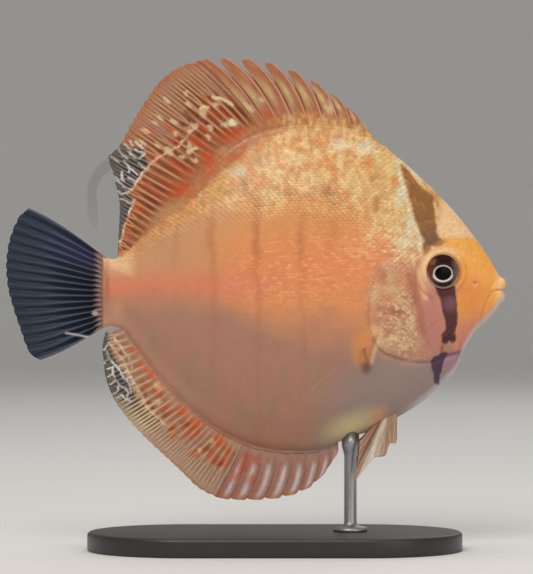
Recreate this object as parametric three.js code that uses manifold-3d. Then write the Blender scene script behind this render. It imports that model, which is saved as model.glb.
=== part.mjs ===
// Discus fish, life size, held by a plain display stand.
// Millimetres. The head points to +X, the back to +Z, and the stand's base rests on Z = 0.

import * as THREE from 'three';
import { mergeVertices } from 'three/addons/utils/BufferGeometryUtils.js';
import Module from 'manifold-3d';

const wasm = await Module();
wasm.setup();

// Driving sizes
const midline = 83.2;        // height of the body's middle line above the floor
const gap = 0.3;             // left between neighbouring pieces
const tailEnd = -49;         // where the tail fin takes over from the body
const snoutEnd = 78.6;       // end of the body behind the lips
const edgeHalf = 0.25;       // half the thickness of a fin at its edge
const valley = 0.62;         // thickness of a membrane, as a share of the ray beside it
const finSink = 1.6;         // how far a fin on the middle plane is rooted in the body
const up = new THREE.Vector3(0, 1, 0);

// A smooth curve through [position, value] knots that never swings past them
function smooth(knots) {
  const slopes = knots.map((knot, i) => {
    if (i === 0 || i === knots.length - 1) return 0;
    const before = (knot[1] - knots[i - 1][1]) / (knot[0] - knots[i - 1][0]);
    const after = (knots[i + 1][1] - knot[1]) / (knots[i + 1][0] - knot[0]);
    return before * after <= 0 ? 0 : (2 * before * after) / (before + after);
  });
  const last = knots.length - 1;
  slopes[0] = (knots[1][1] - knots[0][1]) / (knots[1][0] - knots[0][0]);
  slopes[last] = (knots[last][1] - knots[last - 1][1]) / (knots[last][0] - knots[last - 1][0]);
  return (at) => {
    const x = THREE.MathUtils.clamp(at, knots[0][0], knots[last][0]);
    let i = 0;
    while (i < last - 1 && x > knots[i + 1][0]) i += 1;
    const span = knots[i + 1][0] - knots[i][0];
    const t = (x - knots[i][0]) / span;
    const rest = 1 - t;
    const start = knots[i][1] * (1 + 2 * t) * rest * rest + slopes[i] * span * t * rest * rest;
    const end = knots[i + 1][1] * (3 - 2 * t) * t * t - slopes[i + 1] * span * rest * t * t;
    return start + end;
  };
}

// A curve through [share, x, height] knots, with heights taken from the midline
function edgePath(knots) {
  const across = smooth(knots.map(([share, x]) => [share, x]));
  const height = smooth(knots.map(([share, , z]) => [share, z]));
  return (share) => new THREE.Vector3(across(share), 0, midline + height(share));
}

// Body outline: height of the back and of the belly from the midline, and half the width
const backHeight = smooth([
  [-49, 10.9], [-46, 9.9], [-43, 10.5], [-35.5, 17], [-14.7, 38.4], [-8.3, 44], [-1.9, 48],
  [4.5, 50.2], [10.9, 51.4], [17, 51.7], [30, 50.7], [38.4, 47.7], [46, 41.9], [52.5, 36.2],
  [58.9, 30], [65.3, 22.9], [73.9, 11.2], [78.6, 3.4],
]);
const bellyHeight = smooth([
  [-49, -12.1], [-46, -11.4], [-43, -12.2], [-39.7, -16], [-30.7, -27.8], [-17.9, -40.3],
  [-11.5, -44.8], [-5, -48], [1.3, -50.2], [7.7, -51.2], [14, -51.5], [18.9, -51.2], [23.7, -49.9],
  [30, -47.1], [36.2, -45.3], [43.5, -41.7], [52.5, -36.2], [58.9, -30.8], [64, -25.4], [66, -19.9],
  [69.8, -13.6], [75.2, -8.3], [78.6, -3.4],
]);
const halfWidth = smooth([
  [-49, 2.4], [-44, 3.6], [-35, 6], [-20, 9.2], [-5, 11.6], [15, 12.8], [35, 12.6], [48, 11.4],
  [60, 8.6], [70, 5.6], [75, 4], [78.6, 2.3],
]);

// How sharply the section closes towards the back, the belly and the snout
function keelSharpness(x, lean) {
  const bluntSnout = THREE.MathUtils.smoothstep(x, 55, 75) * 0.2;
  return 1.24 + 0.12 * lean - bluntSnout;
}

// Half the body's width at one place on its side
function sideAt(x, z) {
  const top = backHeight(x);
  const bottom = bellyHeight(x);
  const lean = (z - midline - (top + bottom) / 2) / ((top - bottom) / 2);
  return halfWidth(x) * (1 - lean * lean) ** (keelSharpness(x, lean) / 2);
}

// Solid from vertices and triangles, turned right side out
function solidFrom(vertices, triangles) {
  const [a, b, c] = [new THREE.Vector3(), new THREE.Vector3(), new THREE.Vector3()];
  let volume = 0;
  for (let i = 0; i < triangles.length; i += 3) {
    a.fromArray(vertices, triangles[i] * 3);
    b.fromArray(vertices, triangles[i + 1] * 3);
    c.fromArray(vertices, triangles[i + 2] * 3);
    volume += a.dot(b.cross(c));
  }
  const faces = volume < 0 ? triangles.slice().reverse() : triangles;
  return new wasm.Manifold(new wasm.Mesh({
    numProp: 3,
    vertProperties: new Float32Array(vertices),
    triVerts: new Uint32Array(faces),
  }));
}

// Solid from a closed three.js geometry
function solidOf(geometry) {
  const bare = geometry.clone();
  bare.deleteAttribute('normal');
  bare.deleteAttribute('uv');
  const merged = mergeVertices(bare, 1e-4);
  return solidFrom(Array.from(merged.attributes.position.array), Array.from(merged.index.array));
}

// The largest closed surface of a solid
function largestOf(solid) {
  return solid.decompose().sort((a, b) => b.volume() - a.volume())[0];
}

// The whole body as one loft, swollen or shrunk evenly by a small amount
function bodySolid(swell) {
  const stations = 44;
  const around = 28;
  const crowding = 0.105;    // draws the stations towards both ends
  const vertices = [];
  const triangles = [];
  for (let i = 0; i <= stations; i += 1) {
    const share = i / stations;
    const along = share - crowding * Math.sin(2 * Math.PI * share);
    const x = THREE.MathUtils.lerp(tailEnd, snoutEnd, along);
    const steepness = (line) => Math.min(2, Math.hypot(1, (line(x + 0.5) - line(x - 0.5))));
    const top = backHeight(x) + swell * steepness(backHeight);
    const bottom = bellyHeight(x) - swell * steepness(bellyHeight);
    const half = halfWidth(x) + swell;
    const shift = i === 0 ? -swell : i === stations ? swell : 0;
    for (let j = 0; j < around; j += 1) {
      const turn = (2 * Math.PI * j) / around;
      const lean = Math.cos(turn);
      const out = Math.abs(Math.sin(turn)) ** keelSharpness(x, lean);
      const y = half * out * Math.sign(Math.sin(turn));
      const z = midline + (top + bottom) / 2 + ((top - bottom) / 2) * lean;
      vertices.push(x + shift, y, z);
    }
  }
  const ring = (i, j) => i * around + (j % around);
  for (let j = 0; j < around; j += 1) {
    for (let i = 0; i < stations; i += 1) {
      triangles.push(ring(i, j), ring(i + 1, j), ring(i + 1, j + 1));
      triangles.push(ring(i, j), ring(i + 1, j + 1), ring(i, j + 1));
    }
  }
  for (const [i, firstTurned] of [[0, false], [stations, true]]) {
    for (let j = 1; j < around - 1; j += 1) {
      const pair = firstTurned ? [ring(i, j + 1), ring(i, j)] : [ring(i, j), ring(i, j + 1)];
      triangles.push(ring(i, 0), ...pair);
    }
  }
  return solidFrom(vertices, triangles);
}

// Straight prism across the fish whose outline is drawn in the side view
function sidePrism(outline, fromY, toY) {
  const shape = new THREE.Shape(outline.map(([x, z]) => new THREE.Vector2(x, midline + z)));
  const geometry = new THREE.ExtrudeGeometry(shape, { depth: toY - fromY, bevelEnabled: false });
  geometry.rotateX(Math.PI / 2);
  geometry.translate(0, toY, 0);
  return solidOf(geometry);
}

// Points moved sideways off a line through them, to its left when the distance is positive
function besideLine(points, distance, closed) {
  const count = points.length;
  return points.map(([x, z], i) => {
    const before = closed ? points[(i + count - 1) % count] : points[Math.max(0, i - 1)];
    const after = closed ? points[(i + 1) % count] : points[Math.min(count - 1, i + 1)];
    const along = new THREE.Vector2(after[0] - before[0], after[1] - before[1]).normalize();
    return [x - along.y * distance, z + along.x * distance];
  });
}

// Thin slot that parts the body along a line drawn in the side view
function slot(line) {
  const left = besideLine(line, gap / 2, false);
  const right = besideLine(line, -gap / 2, false).reverse();
  return sidePrism([...left, ...right], -20, 20);
}

// Side-view points along a smooth line
function smoothLine(points, count, closed) {
  const knots = points.map(([x, z]) => new THREE.Vector3(x, z, 0));
  const curve = new THREE.CatmullRomCurve3(knots, closed, 'centripetal');
  const samples = curve.getPoints(count).map((point) => [point.x, point.y]);
  return closed ? samples.slice(0, -1) : samples;
}

function ellipsoid(centre, radii, turnAboutUp, sides) {
  const geometry = new THREE.SphereGeometry(1, sides, Math.round(sides * 0.6));
  geometry.scale(...radii);
  geometry.rotateZ(turnAboutUp);
  geometry.translate(...centre);
  return solidOf(geometry);
}

// Fin sheets

// Sheet with two faces that are split into triangles alike. Each column runs from its root towards
// its tip, as far as its reach, swings sideways by its bow, and thins from root to edge.
function sheet(columns, rows, across) {
  const vertices = [];
  const triangles = [];
  const perColumn = 2 * (rows + 1);
  columns.forEach(({ root, tip, rootHalf, tipHalf, reach = 1, bow = 0 }) => {
    const chord = tip.clone().sub(root);
    const sideways = up.clone().cross(chord).multiplyScalar(bow);
    for (let j = 0; j <= rows; j += 1) {
      const share = (j / rows) * reach;
      const middle = root.clone().addScaledVector(chord, share);
      middle.addScaledVector(sideways, 5.4 * share ** 1.5 * (1 - share));
      const half = THREE.MathUtils.lerp(rootHalf, tipHalf, (j / rows) ** 0.7);
      vertices.push(...middle.clone().addScaledVector(across, half).toArray());
      vertices.push(...middle.clone().addScaledVector(across, -half).toArray());
    }
  });
  const at = (i, j, side) => i * perColumn + j * 2 + side;
  const quad = (a, b, c, d) => triangles.push(a, b, c, a, c, d);
  const last = columns.length - 1;
  for (let i = 0; i < last; i += 1) {
    for (let j = 0; j < rows; j += 1) {
      triangles.push(at(i, j, 0), at(i + 1, j, 0), at(i + 1, j + 1, 0));
      triangles.push(at(i, j, 0), at(i + 1, j + 1, 0), at(i, j + 1, 0));
      triangles.push(at(i, j, 1), at(i + 1, j + 1, 1), at(i + 1, j, 1));
      triangles.push(at(i, j, 1), at(i, j + 1, 1), at(i + 1, j + 1, 1));
    }
    quad(at(i, 0, 0), at(i, 0, 1), at(i + 1, 0, 1), at(i + 1, 0, 0));
    quad(at(i, rows, 0), at(i + 1, rows, 0), at(i + 1, rows, 1), at(i, rows, 1));
  }
  for (let j = 0; j < rows; j += 1) {
    quad(at(0, j, 0), at(0, j + 1, 0), at(0, j + 1, 1), at(0, j, 1));
    quad(at(last, j, 0), at(last, j, 1), at(last, j + 1, 1), at(last, j + 1, 0));
  }
  return solidFrom(vertices, triangles);
}

// A column on the middle plane, rooted a little way inside the body
function medianColumn(baseX, baseLine, tip, rootHalf, reach, bow) {
  const base = new THREE.Vector3(baseX, 0, midline + baseLine(baseX));
  const inward = base.clone().sub(tip).normalize().multiplyScalar(finSink);
  return { root: base.add(inward), tip, rootHalf, tipHalf: edgeHalf, reach, bow };
}

// Columns of a fin of soft rays: a ray and then the membrane behind it, and so on. The first ones
// lean as the last spine does.
function softColumns({ rays, firstBase, lastBase, baseLine, edge, rootHalf, firstBow }) {
  const columns = [];
  const last = 2 * (rays - 1);
  for (let i = 0; i <= last; i += 1) {
    const share = i / last;
    const thin = i % 2 ? valley : 1;
    const baseX = THREE.MathUtils.lerp(firstBase, lastBase, share);
    const thick = THREE.MathUtils.lerp(rootHalf, 0.45, share) * thin;
    const bow = firstBow * Math.max(0, 1 - 4 * share);
    columns.push(medianColumn(baseX, baseLine, edge(share), thick, 1, bow));
  }
  return columns;
}

// Columns of a fin of spines. Each spine stands at the front of a leaf-shaped lobe that leans back,
// and a slit parts the lobe's rear edge from the next spine.
function spineColumns({ bases, tips, baseLine, slitDepth, rootHalf, bow, endBase, endTip, endBow }) {
  const columns = [];
  const last = tips.length - 1;
  tips.forEach(([x, z], i) => {
    const tip = new THREE.Vector3(x, 0, midline + z);
    const [nextX, nextZ] = i < last ? tips[i + 1] : endTip;
    const nextTip = new THREE.Vector3(nextX, 0, midline + nextZ);
    const nextBase = i < last ? bases[i + 1] : endBase;
    const ownBow = i < last ? bow : (bow + endBow) / 2;
    const nextBow = i < last - 1 ? bow : i < last ? (bow + endBow) / 2 : endBow;
    const slit = i < last ? slitDepth(i / last) : 0;
    const lobe = [[0, 0], [0.38, 0.1], [0.72, 0.42], [0.84, 1], [0.94, 0.1]];
    for (const [share, cut] of lobe) {
      const thin = share ? valley : 1;
      const base = THREE.MathUtils.lerp(bases[i], nextBase, share);
      const top = tip.clone().lerp(nextTip, share);
      const lean = THREE.MathUtils.lerp(ownBow, nextBow, share);
      columns.push(medianColumn(base, baseLine, top, rootHalf * thin, 1 - slit * cut, lean));
    }
  });
  const end = new THREE.Vector3(endTip[0], 0, midline + endTip[1]);
  columns.push(medianColumn(endBase, baseLine, end, rootHalf * valley, 1, endBow));
  return columns;
}

// Body pieces
const eye = {
  centre: [59.8, 5.8],
  across: 6.2,
  deep: 3.2,
  sunk: 1.6,
  forward: THREE.MathUtils.degToRad(14),
  rim: 6.25,
  rimThick: 0.75,
};

const gillOutline = smoothLine([
  [49, 10.3], [44.6, 10.3], [40.6, 8.6], [37.2, 3], [35.4, -4.4], [35.8, -12.2], [38.7, -18.2],
  [43.8, -21.1], [50, -22.3], [55.4, -22.3], [55, -16], [53, -9], [50.7, 0],
], 20, true);

// The line behind the head, hidden for most of its way under the gill covers
const neckLine = smoothLine([
  [43.6, 56], [43, 35], [42, 20], [41.2, 10], [39.4, 3], [37.6, -4.6], [37.8, -12], [40.4, -17.6],
  [45, -20.4], [52, -22.2], [58, -24.8], [68, -31],
], 13, false);

const jawLine = smoothLine([
  [84, 0.1], [78, 0.1], [75.6, -0.8], [73.4, -4.5], [72.2, -10], [71.6, -16],
], 7, false);

const tailLine = [[-37, 30], [-37, -40]];

// Place on the eye's axis: the point where it leaves the side, moved in or out along it
function onEyeAxis(side, out) {
  const [x, z] = eye.centre;
  const surface = sideAt(x, midline + z);
  const forward = Math.sin(eye.forward) * out;
  const sideways = Math.cos(eye.forward) * out;
  return [x + forward, side * (surface + sideways), midline + z];
}

function eyeball(side, swell) {
  const radii = [eye.across + swell, eye.deep + swell, eye.across + swell];
  return ellipsoid(onEyeAxis(side, -eye.sunk), radii, -side * eye.forward, 20);
}

function orbitRim(side) {
  const geometry = new THREE.TorusGeometry(eye.rim, eye.rimThick, 6, 20);
  geometry.rotateX(Math.PI / 2);
  geometry.rotateZ(-side * eye.forward);
  geometry.translate(...onEyeAxis(side, -0.35));
  return solidOf(geometry);
}

function lips() {
  const upper = ellipsoid([78.1, 0, midline + 2.05], [1.9, 2.7, 2], 0, 14);
  const lower = ellipsoid([77.8, 0, midline - 2.05], [1.95, 2.5, 2.05], 0, 14);
  return upper.add(lower);
}

function nostril(side) {
  const [x, z] = [69.8, midline + 2.2];
  const lean = Math.atan2(1, 3);
  const rimGeometry = new THREE.TorusGeometry(0.85, 0.35, 5, 9);
  rimGeometry.rotateX(Math.PI / 2);
  rimGeometry.rotateZ(-side * lean);
  rimGeometry.translate(x, side * sideAt(x, z), z);
  return {
    rim: solidOf(rimGeometry),
    pit: ellipsoid([x, side * (sideAt(x, z) + 0.1), z], [0.65, 1.3, 0.65], 0, 8),
  };
}

const plainBody = bodySolid(0);
const clearBody = bodySolid(gap);

function gillCover(side) {
  const layer = bodySolid(0.7).subtract(bodySolid(-1.3));
  const [from, to] = side < 0 ? [-20, -2] : [2, 20];
  return largestOf(layer.intersect(sidePrism(gillOutline, from, to)));
}

// Hollow in the body's side that leaves a gap all round the gill cover
function gillPocket(side) {
  const outline = besideLine(gillOutline, gap, true);
  const inward = besideLine(gillOutline, -gap, true);
  const wider = Math.abs(THREE.ShapeUtils.area(outline.map(([x, z]) => ({ x, y: z }))))
    > Math.abs(THREE.ShapeUtils.area(inward.map(([x, z]) => ({ x, y: z }))));
  const [from, to] = side < 0 ? [-20, -2] : [2, 20];
  return sidePrism(wider ? outline : inward, from, to).subtract(bodySolid(-1.3 - gap));
}

function bodyPieces() {
  let body = plainBody.add(lips());
  for (const side of [-1, 1]) {
    const { rim, pit } = nostril(side);
    body = body.add(orbitRim(side)).add(rim);
    body = body.subtract(eyeball(side, gap)).subtract(pit).subtract(gillPocket(side));
  }
  for (const line of [neckLine, jawLine, tailLine]) body = body.subtract(slot(line));
  const middleX = (solid) => {
    const { min, max } = solid.boundingBox();
    return (min[0] + max[0]) / 2;
  };
  const smallest = 20;       // cubic millimetres, less than any of the four pieces
  return body.decompose()
    .filter((piece) => piece.volume() > smallest)
    .sort((a, b) => middleX(a) - middleX(b));
}

// Fins
const dorsalSpines = {
  bases: [37.6, 34.4, 30.8, 26.9, 22.1, 17.4, 12.9, 8.6, 4.8],
  tips: [
    [34.9, 53], [30.4, 57.7], [24.8, 62.5], [18.2, 67.1], [11, 70.6], [3.2, 73.2], [-4.2, 74.1],
    [-11.5, 74], [-17.2, 73.6],
  ],
  baseLine: backHeight,
  slitDepth: (share) => 0.22 + 0.18 * Math.sin(Math.PI * share),
  rootHalf: 0.75,
  bow: 0.075,
  endBase: 2.7,
  endTip: [-19, 73.3],
  endBow: 0.03,
};

const dorsalRays = {
  rays: 27,
  firstBase: 2.25,
  lastBase: -42.9,
  baseLine: backHeight,
  rootHalf: 0.7,
  firstBow: 0.03,
  edge: edgePath([
    [0, -19.45, 73.2], [0.06, -24, 71.9], [0.16, -30.1, 67.8], [0.3, -36.2, 59.6], [0.43, -40.4, 52.6],
    [0.51, -44, 46], [0.58, -47.4, 42.4], [0.66, -45.5, 36], [0.79, -43.7, 26], [0.89, -44, 18],
    [1, -44.3, 11.4],
  ]),
};

const analSpines = {
  bases: [26.2, 23.9, 20.4, 16, 11.5, 6.7, 2.1, -1.9],
  tips: [
    [25, -54.4], [20.2, -61.2], [15.7, -64.2], [10.9, -65.9], [5.4, -67], [-0.3, -67.2],
    [-5.8, -67.2], [-10.7, -66.9],
  ],
  baseLine: bellyHeight,
  slitDepth: (share) => THREE.MathUtils.lerp(0.3, 0.06, Math.sqrt(share)),
  rootHalf: 0.75,
  bow: -0.06,
  endBase: -3.9,
  endTip: [-13, -66.2],
  endBow: 0,
};

const analRays = {
  rays: 25,
  firstBase: -4.3,
  lastBase: -43,
  baseLine: bellyHeight,
  rootHalf: 0.7,
  firstBow: 0,
  edge: edgePath([
    [0, -13.45, -66], [0.07, -17.6, -64], [0.19, -24.3, -57.8], [0.29, -28, -54.3], [0.45, -35.6, -47.2],
    [0.6, -41.8, -40.4], [0.72, -46.4, -33.2], [0.82, -48.6, -25.8], [0.91, -49.2, -18.6],
    [1, -48.3, -13.6],
  ]),
};

// Clear streamer that trails down from the rear tip of the dorsal fin
function streamer() {
  const lines = [
    edgePath([[0, -45.4, 43.6], [0.25, -51.6, 38.6], [0.5, -53.9, 32], [0.8, -53.9, 25], [1, -52, 19.4]]),
    edgePath([[0, -45, 39.6], [0.25, -49.4, 35.8], [0.5, -51, 31], [0.8, -50.7, 25], [1, -50.6, 19]]),
  ];
  const columns = [];
  for (let i = 0; i <= 12; i += 1) {
    const [root, tip] = lines.map((line) => line(i / 12));
    columns.push({ root, tip, rootHalf: edgeHalf, tipHalf: edgeHalf });
  }
  return sheet(columns, 1, up);
}

// Tail fin: rays fanned from the end of the body to a rounded rear margin
function tailFin() {
  const rearMargin = smooth([
    [-22.4, -69], [-20.8, -72], [-11.8, -75.7], [-5.4, -77.8], [1.6, -79.5], [8, -79.99],
    [13.8, -79.4], [19.5, -77.8], [24.3, -75.2], [26.2, -72.6],
  ]);
  const rays = 16;
  const columns = [];
  const last = 2 * (rays - 1);
  for (let i = 0; i <= last; i += 1) {
    const share = i / last;
    const rootZ = THREE.MathUtils.lerp(-11.7, 10.5, share);
    const tipZ = THREE.MathUtils.lerp(-22.4, 26.2, share);
    const thin = i % 2 ? valley : 1;
    const rootHalf = (0.5 + 1.2 * Math.sin(Math.PI * share)) * thin;
    columns.push({
      root: new THREE.Vector3(tailEnd + 0.4, 0, midline + rootZ),
      tip: new THREE.Vector3(rearMargin(tipZ), 0, midline + tipZ),
      rootHalf,
      tipHalf: edgeHalf,
      bow: 0.03 * (2 * share - 1),
    });
  }
  return sheet(columns, 6, up);
}

// Paired fin: rays fanned outwards from a short root on the body's side
function pairedFin({ rays, rootFrom, rootTo, edge, swing, sink, rootHalf, rows }, side) {
  const spread = Math.tan(THREE.MathUtils.degToRad(swing));
  const columns = [];
  const last = 2 * (rays - 1);
  for (let i = 0; i <= last; i += 1) {
    const share = i / last;
    const rootX = THREE.MathUtils.lerp(rootFrom[0], rootTo[0], share);
    const rootZ = midline + THREE.MathUtils.lerp(rootFrom[1], rootTo[1], share);
    const rootY = side * sideAt(rootX, rootZ);
    const tip = edge(share);
    const reach = Math.hypot(tip.x - rootX, tip.z - rootZ);
    tip.y = rootY + side * spread * reach;
    const root = new THREE.Vector3(rootX, rootY, rootZ);
    root.add(root.clone().sub(tip).normalize().multiplyScalar(sink));
    const thin = i % 2 ? valley : 1;
    columns.push({ root, tip, rootHalf: rootHalf * thin, tipHalf: edgeHalf });
  }
  const first = columns[0];
  const edgeA = first.tip.clone().sub(first.root);
  const edgeB = columns[last].tip.clone().sub(first.root);
  return largestOf(sheet(columns, rows, edgeA.cross(edgeB).normalize()).subtract(clearBody));
}

const pectoral = {
  rays: 11,
  rootFrom: [35, -17.8],
  rootTo: [36, -23],
  edge: edgePath([
    [0, 14.7, -32.6], [0.12, 14.2, -34.2], [0.4, 18.6, -36.6], [0.75, 25.4, -37], [1, 30.6, -34.4],
  ]),
  swing: 21,
  sink: 2.2,
  rootHalf: 0.8,
  rows: 4,
};

const pelvic = {
  rays: 8,
  rootFrom: [45, -39.6],
  rootTo: [38, -43],
  edge: edgePath([
    [0, 45, -47.6], [0.14, 44.4, -48.9], [0.24, 42.8, -48.9], [0.36, 41, -52.9], [0.48, 38.4, -53.2],
    [0.68, 31.2, -61.3], [0.76, 31.4, -58.6], [0.86, 32.6, -52.6], [1, 33, -48.2],
  ]),
  swing: 12,
  sink: 2,
  rootHalf: 0.7,
  rows: 5,
};

// Stand
const stand = { baseX: 6, long: 120, wide: 64, thick: 6, bevel: 1.2, rodX: 30.2, rodRadius: 2 };

function standBase() {
  const radius = stand.wide / 2 - stand.bevel;
  const reach = (stand.long - stand.wide) / 2;
  const shape = new THREE.Shape();
  shape.absarc(stand.baseX + reach, 0, radius, -Math.PI / 2, Math.PI / 2);
  shape.absarc(stand.baseX - reach, 0, radius, Math.PI / 2, (3 * Math.PI) / 2);
  const geometry = new THREE.ExtrudeGeometry(shape, {
    depth: stand.thick - 2 * stand.bevel,
    bevelSize: stand.bevel,
    bevelThickness: stand.bevel,
    bevelSegments: 2,
    curveSegments: 12,
  });
  geometry.translate(0, 0, stand.bevel);
  return solidOf(geometry);
}

function standRod() {
  const foot = stand.thick + gap;
  const head = midline + bellyHeight(stand.rodX) + 1.6;
  const radius = stand.rodRadius;
  const profile = [
    [0, foot], [5.5, foot], [5.5, foot + 0.9], [4.9, foot + 1.5], [radius + 0.6, foot + 1.8],
    [radius, foot + 2.6], [radius, head - 6], [radius + 0.8, head - 3.4], [radius + 0.8, head], [0, head],
  ];
  const geometry = new THREE.LatheGeometry(profile.map(([r, z]) => new THREE.Vector2(r, z)), 24);
  geometry.rotateX(Math.PI / 2);
  geometry.translate(stand.rodX, 0, 0);
  return largestOf(solidOf(geometry).subtract(clearBody));
}

// The fish as named meshes
const colours = {
  skin: { color: 0xc9865c, roughness: 0.4, metalness: 0 },
  fin: { color: 0xb78a70, roughness: 0.45, metalness: 0 },
  tailFin: { color: 0x4a5560, roughness: 0.4, metalness: 0 },
  eye: { color: 0x2c1712, roughness: 0.08, metalness: 0 },
  base: { color: 0x26241f, roughness: 0.5, metalness: 0 },
  rod: { color: 0xb9bcbf, roughness: 0.3, metalness: 1 },
};

const discus = new THREE.Group();

function place(name, solid, colour) {
  const { vertProperties, triVerts } = solid.getMesh();
  const geometry = new THREE.BufferGeometry();
  geometry.setAttribute('position', new THREE.BufferAttribute(vertProperties, 3));
  geometry.setIndex(new THREE.BufferAttribute(triVerts, 1));
  geometry.computeVertexNormals();
  const mesh = new THREE.Mesh(geometry, new THREE.MeshStandardMaterial(colours[colour]));
  mesh.name = name;
  discus.add(mesh);
}

const rooted = (solid) => largestOf(solid.subtract(clearBody));

const [tailBase, trunk, head, lowerJaw] = bodyPieces();
place('head', head, 'skin');
place('lower_jaw', lowerJaw, 'skin');
place('trunk', trunk, 'skin');
place('tail_base', tailBase, 'skin');
place('dorsal_fin_spiny', rooted(sheet(spineColumns(dorsalSpines), 4, up)), 'fin');
place('dorsal_fin_soft', rooted(sheet(softColumns(dorsalRays), 4, up).add(streamer())), 'fin');
place('anal_fin_spiny', rooted(sheet(spineColumns(analSpines), 4, up)), 'fin');
place('anal_fin_soft', rooted(sheet(softColumns(analRays), 4, up)), 'fin');
place('caudal_fin', rooted(tailFin()), 'tailFin');
for (const [name, side] of [['right', -1], ['left', 1]]) {
  place(`gill_cover_${name}`, gillCover(side), 'skin');
  place(`eye_${name}`, eyeball(side, 0), 'eye');
  place(`pectoral_fin_${name}`, pairedFin(pectoral, side), 'fin');
  place(`pelvic_fin_${name}`, pairedFin(pelvic, side), 'fin');
}
place('stand_base', standBase(), 'base');
place('stand_rod', standRod(), 'rod');

export default discus;
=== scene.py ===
# Discus fish, life size, on a plain display stand. Metres, snout towards +X, floor at Z = 0.
import math
import bmesh
import bpy
import numpy as np
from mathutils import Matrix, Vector


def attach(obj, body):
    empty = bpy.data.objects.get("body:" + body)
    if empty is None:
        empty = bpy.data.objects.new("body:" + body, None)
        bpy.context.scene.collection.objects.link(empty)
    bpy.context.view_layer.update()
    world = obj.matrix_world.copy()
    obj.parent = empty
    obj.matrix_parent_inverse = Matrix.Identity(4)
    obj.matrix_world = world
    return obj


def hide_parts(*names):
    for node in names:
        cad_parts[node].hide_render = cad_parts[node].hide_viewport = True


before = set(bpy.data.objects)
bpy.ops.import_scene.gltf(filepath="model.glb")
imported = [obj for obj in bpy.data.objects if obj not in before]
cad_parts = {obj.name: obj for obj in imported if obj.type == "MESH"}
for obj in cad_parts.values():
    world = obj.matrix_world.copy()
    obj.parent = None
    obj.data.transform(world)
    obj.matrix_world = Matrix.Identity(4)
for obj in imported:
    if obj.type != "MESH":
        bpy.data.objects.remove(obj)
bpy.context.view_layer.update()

mm = 0.001            # shapes below are worked out in millimetres, as the solids are


# curves, masks and colours

def smooth(knots):
    # a curve through [place, value] knots that never swings past them
    place = np.array([k[0] for k in knots], float)
    value = np.array([k[1] for k in knots], float)
    rise = np.diff(value) / np.diff(place)
    slope = np.zeros(len(place))
    slope[0], slope[-1] = rise[0], rise[-1]
    before, after = rise[:-1], rise[1:]
    turns = before * after <= 0
    total = np.where(turns, 1, before + after)
    slope[1:-1] = np.where(turns, 0, 2 * before * after / total)

    def curve(at):
        x = np.clip(np.asarray(at, float), place[0], place[-1])
        i = np.clip(np.searchsorted(place, x, side="right") - 1, 0, len(place) - 2)
        span = place[i + 1] - place[i]
        t = (x - place[i]) / span
        rest = 1 - t
        start = value[i] * (1 + 2 * t) * rest ** 2 + slope[i] * span * t * rest ** 2
        end = value[i + 1] * (3 - 2 * t) * t ** 2 - slope[i + 1] * span * rest * t ** 2
        return start + end
    return curve


def edgePath(knots):
    across = smooth([[share, x] for share, x, z in knots])
    height = smooth([[share, z] for share, x, z in knots])
    return lambda share: (across(share), height(share))


def soft(value, low, high):
    # 0 below low, 1 above high, and a smooth ramp between
    t = np.clip((value - low) / (high - low), 0, 1)
    return t * t * (3 - 2 * t)


def hump(value, centre, width):
    return np.exp(-((value - centre) / width) ** 2)


def spot(x, z, centre, radii, turn=0.0, blur=0.5):
    # an oval patch, 1 inside, with a soft rim
    a = math.radians(turn)
    dx, dz = x - centre[0], z - centre[1]
    along = (dx * math.cos(a) + dz * math.sin(a)) / radii[0]
    across = (-dx * math.sin(a) + dz * math.cos(a)) / radii[1]
    return 1 - soft(np.hypot(along, across), 1 - blur, 1 + blur)


def lineDistance(x, z, points, closed=False):
    # distance to a line drawn in the side view
    ends = points + [points[0]] if closed else points
    best = np.full(np.shape(x), 1e9)
    for (ax, az), (bx, bz) in zip(ends[:-1], ends[1:]):
        ux, uz = bx - ax, bz - az
        t = np.clip(((x - ax) * ux + (z - az) * uz) / (ux * ux + uz * uz), 0, 1)
        best = np.minimum(best, np.hypot(x - ax - t * ux, z - az - t * uz))
    return best


def stroke(x, z, points, width, blur=0.6):
    return 1 - soft(lineDistance(x, z, points), width * (1 - blur), width * (1 + blur))


def insideDistance(x, z, outline):
    # distance to a closed outline, positive inside it
    within = np.zeros(np.shape(x), bool)
    for (ax, az), (bx, bz) in zip(outline, outline[1:] + outline[:1]):
        crosses = (az > z) != (bz > z)
        at = (bx - ax) * (z - az) / (bz - az if bz != az else 1e-9) + ax
        within ^= crosses & (x < at)
    gap = lineDistance(x, z, outline, closed=True)
    return np.where(within, gap, -gap)


cloudCells = (67, 71)


def cloud(x, z, size, seed):
    # soft random patches from 0 to 1, about size across
    columns, rows = cloudCells
    total = np.zeros(np.shape(x))
    for step, (share, scale) in enumerate(((0.62, 1.0), (0.38, 0.47))):
        grid = np.random.default_rng(seed + step).random(cloudCells)
        u, v = x / (size * scale) + 11.3, z / (size * scale) + 5.7
        i, j = np.floor(u).astype(int), np.floor(v).astype(int)
        fu, fv = u - i, v - j
        fu, fv = fu * fu * (3 - 2 * fu), fv * fv * (3 - 2 * fv)

        def at(a, b):
            return grid[(i + a) % columns, (j + b) % rows]
        low = at(0, 0) * (1 - fu) + at(1, 0) * fu
        high = at(0, 1) * (1 - fu) + at(1, 1) * fu
        total += share * (low * (1 - fv) + high * fv)
    return total


def ink(red, green, blue):
    # a screen colour, 0 to 255, as the linear one that a shader takes
    c = np.array([red, green, blue]) / 255
    return np.where(c <= 0.04045, c / 12.92, ((c + 0.055) / 1.055) ** 2.4)


def palette(**colours):
    return {name: ink(*colour) for name, colour in colours.items()}


def baseCoat(at, paint):
    # one colour at every point of a grid
    return np.broadcast_to(paint, np.shape(at) + (3,))


def wash(colour, mask, paint):
    m = np.clip(mask, 0, 1)[..., None]
    return colour * (1 - m) + paint * m


# meshes and materials

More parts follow.
